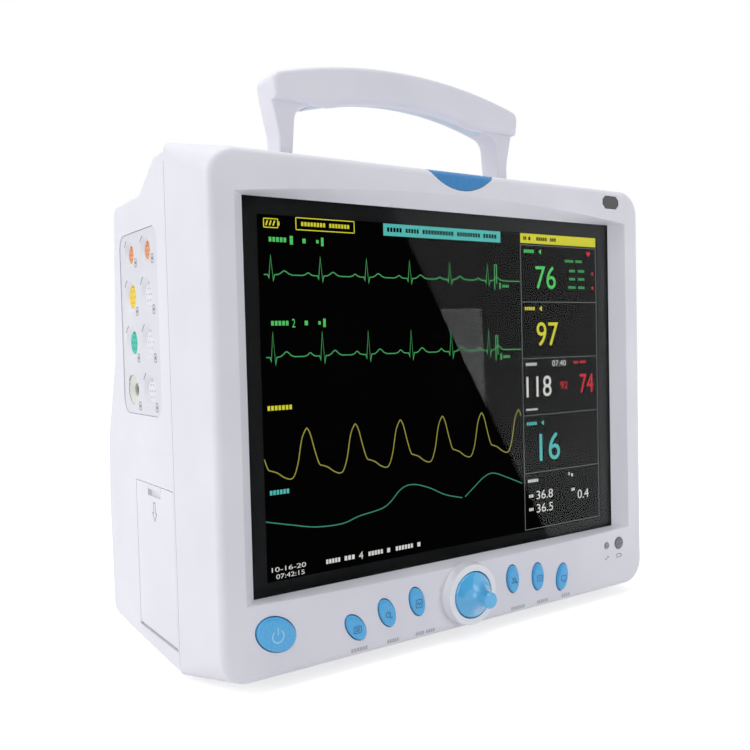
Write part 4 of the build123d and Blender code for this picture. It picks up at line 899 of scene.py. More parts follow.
def arc(centre: Point, radius: float, start_deg: float, end_deg: float, steps: int = 16) -> list[Point]:
    """Points along an arc, anticlockwise, both ends included."""
    angles = [math.radians(start_deg + (end_deg - start_deg) * i / steps) for i in range(steps + 1)]
    return [(centre[0] + radius * math.cos(a), centre[1] + radius * math.sin(a)) for a in angles]


def rounded_box(x: Point, y: Point, radius: float, steps: int = 4) -> list[Point]:
    """The outline of a rounded rectangle, anticlockwise.

    Args:
        x: Its limits across.
        y: Its limits up.
        radius: Its corners' radius.
        steps: Number of steps round each corner.

    Returns:
        The outline's points.
    """
    spots = ((x[1], y[1], 0), (x[0], y[1], 90), (x[0], y[0], 180), (x[1], y[0], 270))
    line: list[Point] = []
    for cx, cy, turn in spots:
        inward = (math.copysign(radius, cx - sum(x) / 2), math.copysign(radius, cy - sum(y) / 2))
        middle = (cx - inward[0], cy - inward[1])
        line += arc(middle, radius, turn, turn + 90, steps)
    return line


def smooth_line(spots: Sequence[Point], steps: int = 8) -> list[Point]:
    """A Catmull-Rom line through the given points.

    Args:
        spots: Points on the line.
        steps: Points per span.

    Returns:
        The line's points.
    """
    padded = [spots[0], *spots, spots[-1]]
    line: list[Point] = []
    for a, b, c, d in zip(padded, padded[1:], padded[2:], padded[3:]):
        for i in range(steps):
            t = i / steps
            line.append(tuple(
                0.5 * (2 * b[k] + (c[k] - a[k]) * t + (2 * a[k] - 5 * b[k] + 4 * c[k] - d[k]) * t * t
                       + (3 * b[k] - a[k] - 3 * c[k] + d[k]) * t ** 3)
                for k in (0, 1)
            ))
    return [*line, tuple(spots[-1])]


def middle_of(node: str) -> Vector:
    """The middle of a CAD node's box."""
    low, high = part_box(node)
    return (low + high) / 2


def front_of(node: str) -> Bench:
    """A drawing plane on the foremost face of a CAD node, through its middle.

    Args:
        node: The CAD node.

    Returns:
        The plane.
    """
    spot = middle_of(node)
    spot.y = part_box(node)[0].y
    return Side.FRONT.bench(spot)


def dress(node: str, finish: Finish, edge_mm: float = 0.0) -> bpy.types.Object:
    """Gives a CAD node its finish and, where asked, softened edges.

    Args:
        node: The CAD node.
        finish: Its finish.
        edge_mm: Width of the softening along its sharp edges, or 0 for none.

    Returns:
        The node's object.
    """
    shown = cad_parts[node]
    shown.data.materials.clear()
    shown.data.materials.append(finish.material())
    if edge_mm:
        weld = shown.modifiers.new("joined_faces", "WELD")
        weld.merge_threshold = WELD_FRAME
        soft = shown.modifiers.new("softened_edges", "BEVEL")
        soft.width = edge_mm * MM
        soft.segments = SOFTEN_STEPS
        soft.limit_method = "ANGLE"
        soft.angle_limit = math.radians(SOFTEN_DEG)
        soft.harden_normals = True
    LOG.info("%s: frame solid, %s", node, finish.name)
    return shown


# ---- The picture on the display ---------------------------------------------------------------------------
@dataclass(frozen=True)
class HeartTrace:
    """One lead of a heart trace: evenly spaced beats on a flat line, with a calibration step."""

    name: str
    base_mm: float
    peak_mm: float
    step: Point
    first_mm: float = -116.0
    pitch_mm: float = 28.8
    start_mm: float = -120.0
    end_mm: float = 54.0
    line_mm: float = 0.55
    # The two soft waves of a beat: place, width and height. Then the corners of its sharp peak.
    waves: tuple[tuple[float, float, float], ...] = ((-7.4, 1.5, 0.15), (7.6, 2.2, 0.22))
    corners: tuple[Point, ...] = ((-1.9, 0.0), (-1.2, -0.16), (0.0, 1.0), (1.2, -0.3), (2.0, 0.0))
    stops: tuple[float, ...] = (
        -11, -9, -8, -7.4, -6.6, -5.6, -4, -1.9, -1.2, 0.0, 1.2, 2.0, 4, 5.6, 6.6, 7.6, 8.8, 10, 12,
    )
    beat_start_mm: float = 14

    def beat(self, t: float) -> float:
        """Height of the trace at one place in a beat.

        Args:
            t: Distance from the beat's sharp peak, in millimetres.

        Returns:
            The height, as a share of the peak.
        """
        height = sum(size * math.exp(-(((t - at) / width) ** 2)) for at, width, size in self.waves)
        for (a, low), (b, high) in zip(self.corners, self.corners[1:]):
            if a <= t < b:
                height += low + (high - low) * (t - a) / (b - a)
        return height

    def line(self) -> list[Point]:
        """Draws the trace, with its points close together at each sharp peak.

        Returns:
            The trace's points.
        """
        spots = {self.start_mm, self.end_mm}
        count = int((self.end_mm - self.first_mm) / self.pitch_mm) + 1
        for i in range(count):
            peak = self.first_mm + i * self.pitch_mm
            spots |= {peak + t for t in self.stops}
        inside = sorted(s for s in spots if self.start_mm <= s <= self.end_mm)
        swing = self.peak_mm - self.base_mm
        lead = self.beat_start_mm
        places = [(x, (x - self.first_mm + lead) % self.pitch_mm - lead) for x in inside]
        return [(x, self.base_mm + swing * self.beat(t)) for x, t in places]


@dataclass(frozen=True)
class PulseTrace:
    """A blood-oxygen wave: a quick rise, a fast fall to a shoulder and a slow run-down, beat after beat."""

    trough_mm: float = -41.5
    peak_mm: float = -16.4
    first_mm: float = -108.3
    pitch_mm: float = 29.8
    start_mm: float = -123.0
    end_mm: float = 53.5
    beats: tuple[int, int] = (-1, 7)
    # One beat, as shares of the pitch and of the swing.
    wave: tuple[Point, ...] = (
        (0.0, 0.0), (0.08, 0.06), (0.16, 0.32), (0.24, 0.78), (0.32, 0.98), (0.36, 1.0),
        (0.42, 0.86), (0.5, 0.52), (0.58, 0.25), (0.66, 0.2), (0.76, 0.15), (0.88, 0.05),
    )

    def line(self) -> list[Point]:
        """Draws the wave, beat after beat.

        Returns:
            The wave's points.
        """
        spots: list[Point] = []
        swing = self.peak_mm - self.trough_mm
        for beat in range(*self.beats):
            for share, height in self.wave:
                x = self.first_mm + (beat + share) * self.pitch_mm
                spots.append((x, self.trough_mm + swing * height))
        return [s for s in smooth_line(spots, 5) if self.start_mm <= s[0] <= self.end_mm]


@dataclass
class Picture:
    """The lit picture: traces on the left, values in boxes on the right and a header along the top.

    Its places are in millimetres from the middle of the picture.
    """

    width_mm: float = 246.0
    height_mm: float = 184.5
    lift_mm: float = 0.14
    column: Point = (55.2, 122.4)
    shelves: tuple[float, ...] = (85.2, 50.1, 15.0, -20.5, -56.5, -91.6)
    sunk_mm: float = 0.3
    border_gap_mm: float = 0.3
    ink_rise_mm: float = 0.06
    line_mm: float = 0.6
    box_line_mm: float = 0.5
    frame_line_mm: float = 0.4
    word_share: float = 0.62
    bench: Bench = field(init=False)

    def __post_init__(self) -> None:
        """Places the drawing plane on the floor of the display's shallow recess."""
        spot = middle_of("lcd_panel")
        spot.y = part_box("lcd_panel")[0].y + self.sunk_mm * MM
        self.bench = Side.FRONT.bench(spot)

    def build(self) -> None:
        """Makes every piece of the picture."""
        half, tall = self.width_mm / 2, self.height_mm / 2
        ground = Shape(self.bench).prism(rounded_box((-half, half), (-tall, tall), 0.4), 0.01, self.lift_mm)
        ground.piece("picture_ground", BLACK_INK, "display")
        self.border(half, tall)
        self.traces()
        self.header()
        self.frames()
        self.values()
        self.labels()

    def border(self, half: float, tall: float) -> None:
        """Adds the black frame printed on the glass's back, from the picture's edge to the glass's.

        Args:
            half: Half the picture's width in millimetres.
            tall: Half its height.
        """
        low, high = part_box("screen_glass")
        middle = self.bench.origin.copy()
        middle.y = high.y
        bench = Side.FRONT.bench(middle)
        left, right = ((x - middle.x) / MM for x in (low.x, high.x))
        foot, head = ((z - middle.z) / MM for z in (low.z, high.z))
        edge = self.border_gap_mm
        shape = Shape(bench)
        for x, y in (
            ((left + edge, right - edge), (tall + edge, head - edge)),
            ((left + edge, right - edge), (foot + edge, -tall - edge)),
            ((left + edge, -half - edge), (-tall - edge, tall + edge)),
            ((half + edge, right - edge), (-tall - edge, tall + edge)),
        ):
            shape.bar(x, y, -0.02, -0.08)
        shape.piece("glass_border", BORDER_INK, "display")

    def ink(self, shape: Shape, name: str, finish: Finish) -> None:
        """Finishes a lit shape."""
        shape.piece(name, finish, "display")

    @property
    def top(self) -> float:
        """Height of a lit stroke above the drawing plane."""
        return self.lift_mm + self.ink_rise_mm

    def traces(self) -> None:
        """The four running traces."""
        leads = (
            HeartTrace("trace_heart_1", 62.6, 72.2, (57.4, 72.0)),
            HeartTrace("trace_heart_2", 21.0, 33.4, (14.7, 29.6)),
        )
        for lead in leads:
            shape = Shape(self.bench).ribbon(lead.line(), lead.line_mm, self.top, self.lift_mm)
            low, high = lead.step
            step = [(33.6, low), (33.6, high), (35.2, high), (35.2, low + 3.4)]
            shape.ribbon(step, self.line_mm, self.top + 0.01, self.lift_mm)
            shape.numerals("1", (37.2, 38.4), (low + 0.4, low + 4.2), self.top)
            self.bars(shape, [(39.4, 45.0)], low + 2.1, 1.3)
            self.ink(shape, lead.name, TRACE_GREEN)
        pulse = Shape(self.bench).ribbon(PulseTrace().line(), self.line_mm, self.top, self.lift_mm)
        self.ink(pulse, "trace_pulse", TRACE_OLIVE)
        first = [
            (-123, -61.6), (-109, -65), (-94, -68.2), (-78, -68.7), (-67, -66.1), (-50, -63.2),
            (-39, -54.8), (-31, -53.1), (-20, -56), (-7.5, -61.7), (5.0, -65.0),
        ]
        second = [(7.2, -64.7), (14, -60), (22.3, -54.6), (29.7, -53.1), (41, -57), (53, -61.9)]
        breath = Shape(self.bench)
        for part in (first, second):
            breath.ribbon(smooth_line(part), self.line_mm, self.top, self.lift_mm)
        self.ink(breath, "trace_breath", TRACE_TEAL)

    def bars(self, shape: Shape, spans: Iterable[Point], middle: float, tall: float) -> None:
        """Adds runs of plain blocks where a display would show words.

        Args:
            shape: The shape that gets them.
            spans: Each run's limits across.
            middle: Their height in the picture.
            tall: How tall each one is.
        """
        up = (middle - self.word_share * tall, middle + self.word_share * tall)
        for span in spans:
            shape.blocks(span, up, self.top, self.lift_mm)

    def header(self) -> None:
        """The battery sign, the mode box and the two message strips."""
        top, foot = self.top, self.lift_mm
        sign = Shape(self.bench)
        outline = rounded_box((-119.3, -111.4), (86.2, 90.6), 0.3)
        sign.ribbon(outline, self.box_line_mm, top, foot, closed=True)
        sign.bar((-111.2, -110.4), (87.4, 89.4), top, foot)
        for x in (-117.6, -115.6, -113.6):
            sign.ribbon([(x - 0.5, 87.2), (x + 0.5, 89.7)], 0.8, top, foot)
        self.ink(sign, "header_battery", YELLOW_INK)
        box = Shape(self.bench)
        outline = rounded_box((-101, -65.7), (85.9, 92.0), 0.3)
        box.ribbon(outline, self.box_line_mm, top, foot, closed=True)
        self.bars(box, [(-98.2, -83.4), (-81.4, -68.6)], 88.95, 1.7)
        self.ink(box, "header_mode", YELLOW_INK)
        strip = Shape(self.bench).bar((-46.8, 38.8), (85.6, 92.3), top, foot)
        self.ink(strip, "header_message", CYAN_INK)
        alert = Shape(self.bench).bar(self.column, (86.3, 92.3), top, foot)
        self.ink(alert, "header_alert", YELLOW_INK)
        words = Shape(self.bench)
        for span in ((-44.6, -34.2), (-32, -22.4), (-20.2, 2.6), (5, 22.8), (25, 35.8)):
            words.blocks(span, (87.8, 90.2), top + 0.05, foot)
        for span in ((57.4, 60.4), (61.6, 64.0), (68.5, 78.0), (80.5, 86.0)):
            words.blocks(span, (88.2, 90.4), top + 0.05, foot)
        self.ink(words, "header_words", BLACK_INK)

    def frames(self) -> None:
        """The thin frames round the values."""
        left, right = self.column
        shape = Shape(self.bench)
        for high, low in zip(self.shelves, self.shelves[1:]):
            line = [(left, low), (right, low), (right, high), (left, high)]
            shape.ribbon(line, self.frame_line_mm, self.top, self.lift_mm, closed=True)
        self.ink(shape, "value_frames", GREY_INK)

    def values(self) -> None:
        """The large figures, the small ones and the blocks beside them."""
        large = (
            ("value_heart", "76", (67.7, 85.2), (58.4, 72.6), GREEN_INK),
            ("value_oxygen", "97", (67.8, 86.7), (22.6, 37.5), YELLOW_INK),
            ("value_pressure", "118", (58.3, 79.9), (-9.2, 3.8), WHITE_INK),
            ("value_pressure_mean", "92", (87.8, 94.6), (-5.2, -0.5), RED_INK),
            ("value_pressure_low", "74", (105.9, 118.6), (-8.8, 3.7), RED_INK),
            ("value_breath", "16", (68.6, 86.6), (-49.8, -32.4), CYAN_INK),
        )
        for name, text, x, y, finish in large:
            self.ink(Shape(self.bench).numerals(text, x, y, self.top), name, finish)
        small = Shape(self.bench)
        rows = (
            ("07:40", (81.0, 93.2), (9.6, 13.2)),
            ("36.8", (65.2, 79.6), (-73.6, -68.2)),
            ("36.5", (65.2, 79.6), (-82.0, -76.6)),
            ("0.4", (102.2, 112.5), (-77.6, -71.8)),
        )
        for text, x, y in rows:
            small.numerals(text, x, y, self.top)
        self.bars(small, [(58.6, 62.6), (96.4, 99.6)], -70.9, 1.5)
        self.bars(small, [(58.6, 62.6)], -79.3, 1.5)
        self.bars(small, [(58.0, 67.0)], -61.4, 1.5)
        self.bars(small, [(58.0, 67.4)], 11.4, 1.5)
        self.bars(small, [(57.6, 67.6)], -16.8, 1.0)
        small.ring((94.6, -60.4), 0.7, 0.4, self.top, self.lift_mm)
        self.bars(small, [(96.2, 98.4)], -61.4, 1.5)
        self.ink(small, "value_small_figures", WHITE_INK)
        self.small_signs()

    def small_signs(self) -> None:
        """The sounder signs beside each value's name, the side rows and the beating heart."""
        for name, y, finish in (
            ("sounder_heart", 81.4, GREEN_INK),
            ("sounder_oxygen", 46.0, YELLOW_INK),
            ("sounder_breath", -25.6, CYAN_INK),
        ):
            sign = Shape(self.bench)
            self.bars(sign, [(57.8, 66.6)], y, 1.6)
            sign.prism([(70.4, y), (72.6, y - 1.7), (72.6, y + 1.7)], self.lift_mm, self.top)
            self.ink(sign, name, finish)
        rows = Shape(self.bench)
        for y, spans in (
            (76.4, [(93.6, 101.4), (103.4, 109.4)]),
            (70.2, [(97.4, 102.8), (105.6, 111.6)]),
            (65.0, [(97.4, 102.8), (105.6, 111.6)]),
            (59.6, [(96.4, 103.2), (105.6, 111.6)]),
        ):
            self.bars(rows, spans, y, 1.3)
        self.ink(rows, "value_heart_rows", TRACE_GREEN)
        heart = [(115.6 + 1.75 * math.sin(a) ** 3, 81.6 + 0.115 * (
            13 * math.cos(a) - 5 * math.cos(2 * a) - 2 * math.cos(3 * a) - math.cos(4 * a)))
            for a in (math.tau * i / 28 for i in range(28))]
        beating = Shape(self.bench).prism(heart[::-1], self.lift_mm, self.top)
        for x, y in ((119.2, 68.8), (119.2, 59.6)):
            beating.prism([(x - 1.4, y), (x + 0.6, y - 1.3), (x + 0.6, y + 1.3)], self.lift_mm, self.top)
        self.bars(beating, [(100.2, 104.6), (106.0, 111.8)], 11.4, 1.3)
        self.ink(beating, "value_heart_sign", RED_INK)

    def labels(self) -> None:
        """The names of the traces, drawn as blocks and figures, and the foot line."""
        leads = Shape(self.bench)
        for y, figure in ((80.3, "1"), (38.2, "2")):
            self.bars(leads, [(-117.0, -106.6), (-97.8, -95.2)], y, 1.9)
            leads.numerals(figure, (-104.8, -103.0), (y - 2.2, y + 2.2), self.top)
            leads.numerals("1", (-86.4, -84.9), (y - 2.2, y + 2.2), self.top)
            self.bars(leads, [(-89.6, -87.6)], y, 1.4)
        self.ink(leads, "label_leads", GREEN_INK)
        for name, y, end, finish in (
            ("label_pulse", -4.6, -106.0, YELLOW_INK),
            ("label_breath", -47.4, -109.0, CYAN_INK),
        ):
            label = Shape(self.bench)
            self.bars(label, [(-120.4, end)], y, 1.9)
            self.ink(label, name, finish)
        foot = Shape(self.bench)
        foot.numerals("10-16-20", (-120.4, -100.6), (-87.9, -85.5), self.top)
        foot.numerals("07:42:15", (-118.0, -101.6), (-91.6, -89.2), self.top)
        words = [
            (-88.7, -79.6), (-77.4, -70.4), (-62.0, -52.0), (-49.8, -47.0), (-43.8, -31.4), (-29.0, -26.0),
        ]
        self.bars(foot, words, -87.6, 1.9)
        foot.numerals("4", (-68.0, -65.2), (-89.6, -85.6), self.top)
        self.ink(foot, "label_foot", WHITE_INK)


# ---- Front controls ---------------------------------------------------------------------------------------
class Glyph(Enum):
    """The signs on the keys."""

    MENU = "key_menu"
    PRESSURE = "key_pressure"
    RECORD = "key_record"
    SILENCE = "key_silence"
    FREEZE = "key_freeze"
    HOME = "key_home"

    @property
    def stroke_mm(self) -> float:
        """Width of a sign's strokes."""
        return 0.42

    def draw(self, shape: Shape, top: float) -> None:
        """Draws the sign round the middle of a key.

        Args:
            shape: The shape that gets its strokes.
            top: Height of the ink above the key.
        """
        def stroke(line: Sequence[Point], closed: bool = False) -> None:
            """Adds one stroke along a line."""
            shape.ribbon(line, self.stroke_mm, top, -0.05, closed)

        if self is Glyph.MENU:
            stroke(rounded_box((-2.3, 2.3), (-1.8, 1.8), 0.7), True)
            for y in (-0.8, 0.0, 0.8):
                stroke([(-1.3, y), (1.3, y)])
        elif self is Glyph.PRESSURE:
            stroke(arc((-0.4, 0.2), 1.5, 0, 360, 20)[:-1], True)
            stroke([(-0.4, 0.2), (0.5, 0.9)])
            stroke([(0.7, -0.9), (1.6, -2.0), (2.4, -1.4)])
        elif self is Glyph.RECORD:
            stroke([(-2.0, -2.2), (2.0, -2.2), (2.0, 2.2), (-2.0, 2.2)], True)
            stroke([(-1.2, -0.4), (-0.5, 0.9), (0.3, -0.9), (1.2, 0.6)])
        elif self is Glyph.SILENCE:
            left = [(-1.9, -1.2), (-1.2, -0.4), (-1.0, 1.0)]
            right = [(1.0, 1.0), (1.2, -0.4), (1.9, -1.2)]
            stroke([*left, (0.0, 1.8), *right], True)
            stroke([(-2.0, 1.9), (2.0, -2.0)])
        elif self is Glyph.FREEZE:
            stroke(rounded_box((-2.1, 2.1), (-1.7, 1.7), 0.4), True)
            for x in (-0.7, 0.7):
                stroke([(x, -0.9), (x, 0.9)])
        else:
            stroke(rounded_box((-2.1, 2.1), (-1.2, 1.8), 0.3), True)
            stroke([(-1.2, -2.1), (1.2, -2.1)])


class LampSign(Enum):
    """The signs below the two small lamps."""

    WAVE = "mains_led"
    CELL = "battery_led"


@dataclass
class FrontControls:
    """Keys, power button, knob, lamps and the marks printed round them.

    Label places are in millimetres from the middle of the picture.
    """

    label_z_mm: float = -134.1
    labels: tuple[tuple[float, tuple[float, ...]], ...] = (
        (-75.6, (10.6,)), (-53.9, (7.8,)), (-31.9, (6.0, 6.4)),
        (38.3, (11.4,)), (58.8, (9.6,)), (79.0, (7.6,)),
    )
    label_half_mm: float = 1.0
    word_gap_mm: float = 1.1
    lamp_sign_drop_mm: float = 8.2
    lamp_line_mm: float = 0.4
    ink_mm: float = 0.05
    ink_foot_mm: float = -0.1
    power_radius_mm: float = 3.1
    power_line_mm: float = 0.75

    def build(self) -> None:
        """Dresses the controls and adds their signs."""
        for glyph in Glyph:
            dress(glyph.value, KEY_PLASTIC)
            shape = Shape(front_of(glyph.value).moved(0.3, -0.9))
            glyph.draw(shape, self.ink_mm)
            shape.piece(f"{glyph.value}_sign", DARK_PRINT, "blue_button", f"{glyph.value}_cap")
        dress("power_button", KEY_PLASTIC)
        self.power_sign()
        dress("rotary_knob", KNOB_PLASTIC)
        dress("knob_collar", COLLAR_PLASTIC)
        dress("alarm_lamp", ALARM_LENS)
        dress("sensor_window", INFRARED_ACRYLIC)
        dress("mains_led", MAINS_LENS)
        dress("battery_led", CHARGE_LENS)
        self.print_marks()

    def power_sign(self) -> None:
        """The raised ring and stroke on the power button, painted paler as a highlight."""
        bench = front_of("power_button").moved(0.4, -0.5)
        ring = arc((0, -0.2), self.power_radius_mm, 128, 412, 26)
        shape = Shape(bench).ribbon(ring, self.power_line_mm, 0.1, self.ink_foot_mm)
        shape.ribbon([(0, 0.6), (0, 4.2)], self.power_line_mm, 0.12, self.ink_foot_mm)
        shape.piece("power_button_sign", PAINTED_HIGHLIGHT_BLUE, "blue_button", "power_key")

    def print_marks(self) -> None:
        """The label line under the keys and the two signs under the small lamps."""
        middle = middle_of("lcd_panel")
        middle.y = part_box("front_bezel")[0].y
        bench = Side.FRONT.bench(middle)
        shape = Shape(bench)
        low, high = self.label_z_mm - self.label_half_mm, self.label_z_mm + self.label_half_mm
        for x, words in self.labels:
            start = x - (sum(words) + self.word_gap_mm * (len(words) - 1)) / 2
            for wide in words:
                shape.blocks((start, start + wide), (low, high), self.ink_mm, self.ink_foot_mm)
                start += wide + self.word_gap_mm
        shape.piece("key_labels", PALE_PRINT, "front_plastic")
        signs = Shape(bench)
        for sign in LampSign:
            x = (middle_of(sign.value).x - middle.x) / MM
            z = (middle_of(sign.value).z - middle.z) / MM - self.lamp_sign_drop_mm
            if sign is LampSign.WAVE:
                places = (-2, -1.5, -1, -0.5, 0, 0.5, 1, 1.5, 2)
                wave = [(x + t, z + 0.9 * math.sin(t * math.pi / 2)) for t in places]
                signs.ribbon(wave, self.lamp_line_mm, self.ink_mm, self.ink_foot_mm)
            else:
                cell = rounded_box((x - 2.2, x + 1.8), (z - 1.1, z + 1.1), 0.2)
                signs.ribbon(cell, self.lamp_line_mm, self.ink_mm, self.ink_foot_mm, closed=True)
                signs.bar((x + 2.1, x + 2.7), (z - 0.5, z + 0.5), self.ink_mm, self.ink_foot_mm)
        signs.piece("lamp_signs", GREY_PRINT, "front_plastic")


# ---- The two sides ----------------------------------------------------------------------------------------
@dataclass
class PatientSockets:
    """The coloured receptacles in the side panel, their contacts and the marks beside them."""

    finishes: tuple[tuple[str, Finish, str], ...] = (
        ("socket_temperature_1", NYLON_ORANGE, "socket_orange"),
        ("socket_temperature_2", NYLON_ORANGE, "socket_orange"),
        ("socket_heart_leads", NYLON_YELLOW, "socket_yellow"),
        ("socket_invasive_pressure_1", NYLON_WHITE, "socket_white"),
        ("socket_oxygen", NYLON_TEAL, "socket_teal"),
        ("socket_invasive_pressure_2", NYLON_WHITE, "socket_white"),
        ("socket_gas", NYLON_WHITE, "socket_white"),
    )
    contact_mm: float = 0.35
    contact_top_mm: float = -0.2
    contact_foot_mm: float = -2.6
    contact_ring: float = 0.58
    contact_steps: int = 12
    key_span: Point = (0.82, 0.97)
    rim_mm: float = 1.6
    rim_play_mm: float = 0.05
    large_face_mm: float = 5.6
    small_mouth_mm: float = 7.5
    large_mouth_mm: float = 9.3
    small_drop_mm: float = 5.3
    large_drop_mm: float = 8.5
    port_drop_mm: float = 8.8
    dot_ahead_mm: float = 10.7
    dot_half_mm: Point = (1.6, 2.2)
    arc_gap_mm: float = 1.7
    ink_mm: float = 0.05
    ink_foot_mm: float = -0.1
    seal_radius_mm: float = 3.2
    seal_line_mm: float = 0.7

    def face_radius(self, node: str) -> float:
        """Radius of a receptacle's face in millimetres: its box is its rear flange, one rim wider."""
        low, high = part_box(node)
        return (high.y - low.y) / 2 / MM - self.rim_mm - self.rim_play_mm

    def build(self) -> None:
        """Dresses the panel and its sockets and adds contacts and marks."""
        dress("connector_panel", PANEL_PLASTIC, 0.25)
        dress("pressure_port", ACETAL, 0.3)
        marks = Shape(self.panel_bench())
        origin = marks.bench.origin
        for node, finish, slot in self.finishes:
            dress(node, finish)
            spot = middle_of(node)
            spot.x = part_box(node)[0].x
            radius = self.face_radius(node)
            self.contacts(node, Side.LEFT.bench(spot), radius, finish, slot)
            large = radius > self.large_face_mm
            mouth = self.large_mouth_mm if large else self.small_mouth_mm
            drop = self.large_drop_mm if large else self.small_drop_mm
            self.mark(marks, (origin.y - spot.y) / MM, (spot.z - origin.z) / MM, mouth, drop)
        port = middle_of("pressure_port")
        ahead, above = (origin.y - port.y) / MM, (port.z - origin.z) / MM
        self.mark(marks, ahead, above, self.small_mouth_mm, self.port_drop_mm)
        marks.piece("socket_marks", GREY_PRINT, "panel_plastic")
        self.port_seal(port)

    def panel_bench(self) -> Bench:
        """Finds the panel's face.

        Returns:
            A drawing plane on it.
        """
        spot = middle_of("connector_panel")
        spot.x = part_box("connector_panel")[0].x
        return Side.LEFT.bench(spot)

    def contacts(self, node: str, bench: Bench, radius: float, finish: Finish, slot: str) -> None:
        """Adds the seven contact pins and the key ridge of one receptacle.

        Args:
            node: The receptacle.
            bench: The plane of its face.
            radius: The face's radius in millimetres.
            finish: The receptacle's finish.
            slot: Its material slot.
        """
        top, foot, steps = self.contact_top_mm, self.contact_foot_mm, self.contact_steps
        pins = Shape(bench).disc((0, 0), self.contact_mm, top, foot, steps)
        for i in range(6):
            turn = math.radians(60 * i)
            # The holes run round from the back of the case upwards, so they are mirrored across this plane.
            spot = (-self.contact_ring * radius * math.cos(turn), self.contact_ring * radius * math.sin(turn))
            pins.disc(spot, self.contact_mm, top, foot, steps)
        pins.piece(f"{node}_contacts", GROUND_STEEL, "steel", smooth=True)
        low, high = self.key_span
        key = Shape(bench).bar((-0.7, 0.7), (radius * low, radius * high), 0.6, -0.2)
        key.piece(f"{node}_key", finish, slot)

    def mark(self, shape: Shape, x: float, y: float, rim: float, drop: float) -> None:
        """Adds the boxed dot below a socket and the curved stroke above it.

        Args:
            shape: The shape that gets them.
            x: The socket's middle across the panel.
            y: The socket's middle up the panel.
            rim: Radius of the socket's mouth.
            drop: How far the dot lies below the socket's middle.
        """
        bx, by = x + self.dot_ahead_mm, y - drop
        wide, tall = self.dot_half_mm
        outline = rounded_box((bx - wide, bx + wide), (by - tall, by + tall), 0.7)
        shape.ribbon(outline, 0.5, self.ink_mm, self.ink_foot_mm, closed=True)
        shape.disc((bx, by), 1.0, self.ink_mm, self.ink_foot_mm, 12)
        stroke = arc((x, y), rim + self.arc_gap_mm, 118, 148, 6)
        shape.ribbon(stroke, 0.8, self.ink_mm, self.ink_foot_mm)

    def port_seal(self, port: Vector) -> None:
        """Adds the dark rubber ring inside the cuff port's bore.

        Args:
            port: The middle of the port.
        """
        spot = port.copy()
        spot.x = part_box("pressure_port")[0].x
        bench = Side.LEFT.bench(spot)
        seal = Shape(bench).ring((0, 0), self.seal_radius_mm, self.seal_line_mm, -3.0, -4.4)
        seal.piece("pressure_port_seal", NITRILE, "rubber_dark", smooth=True)


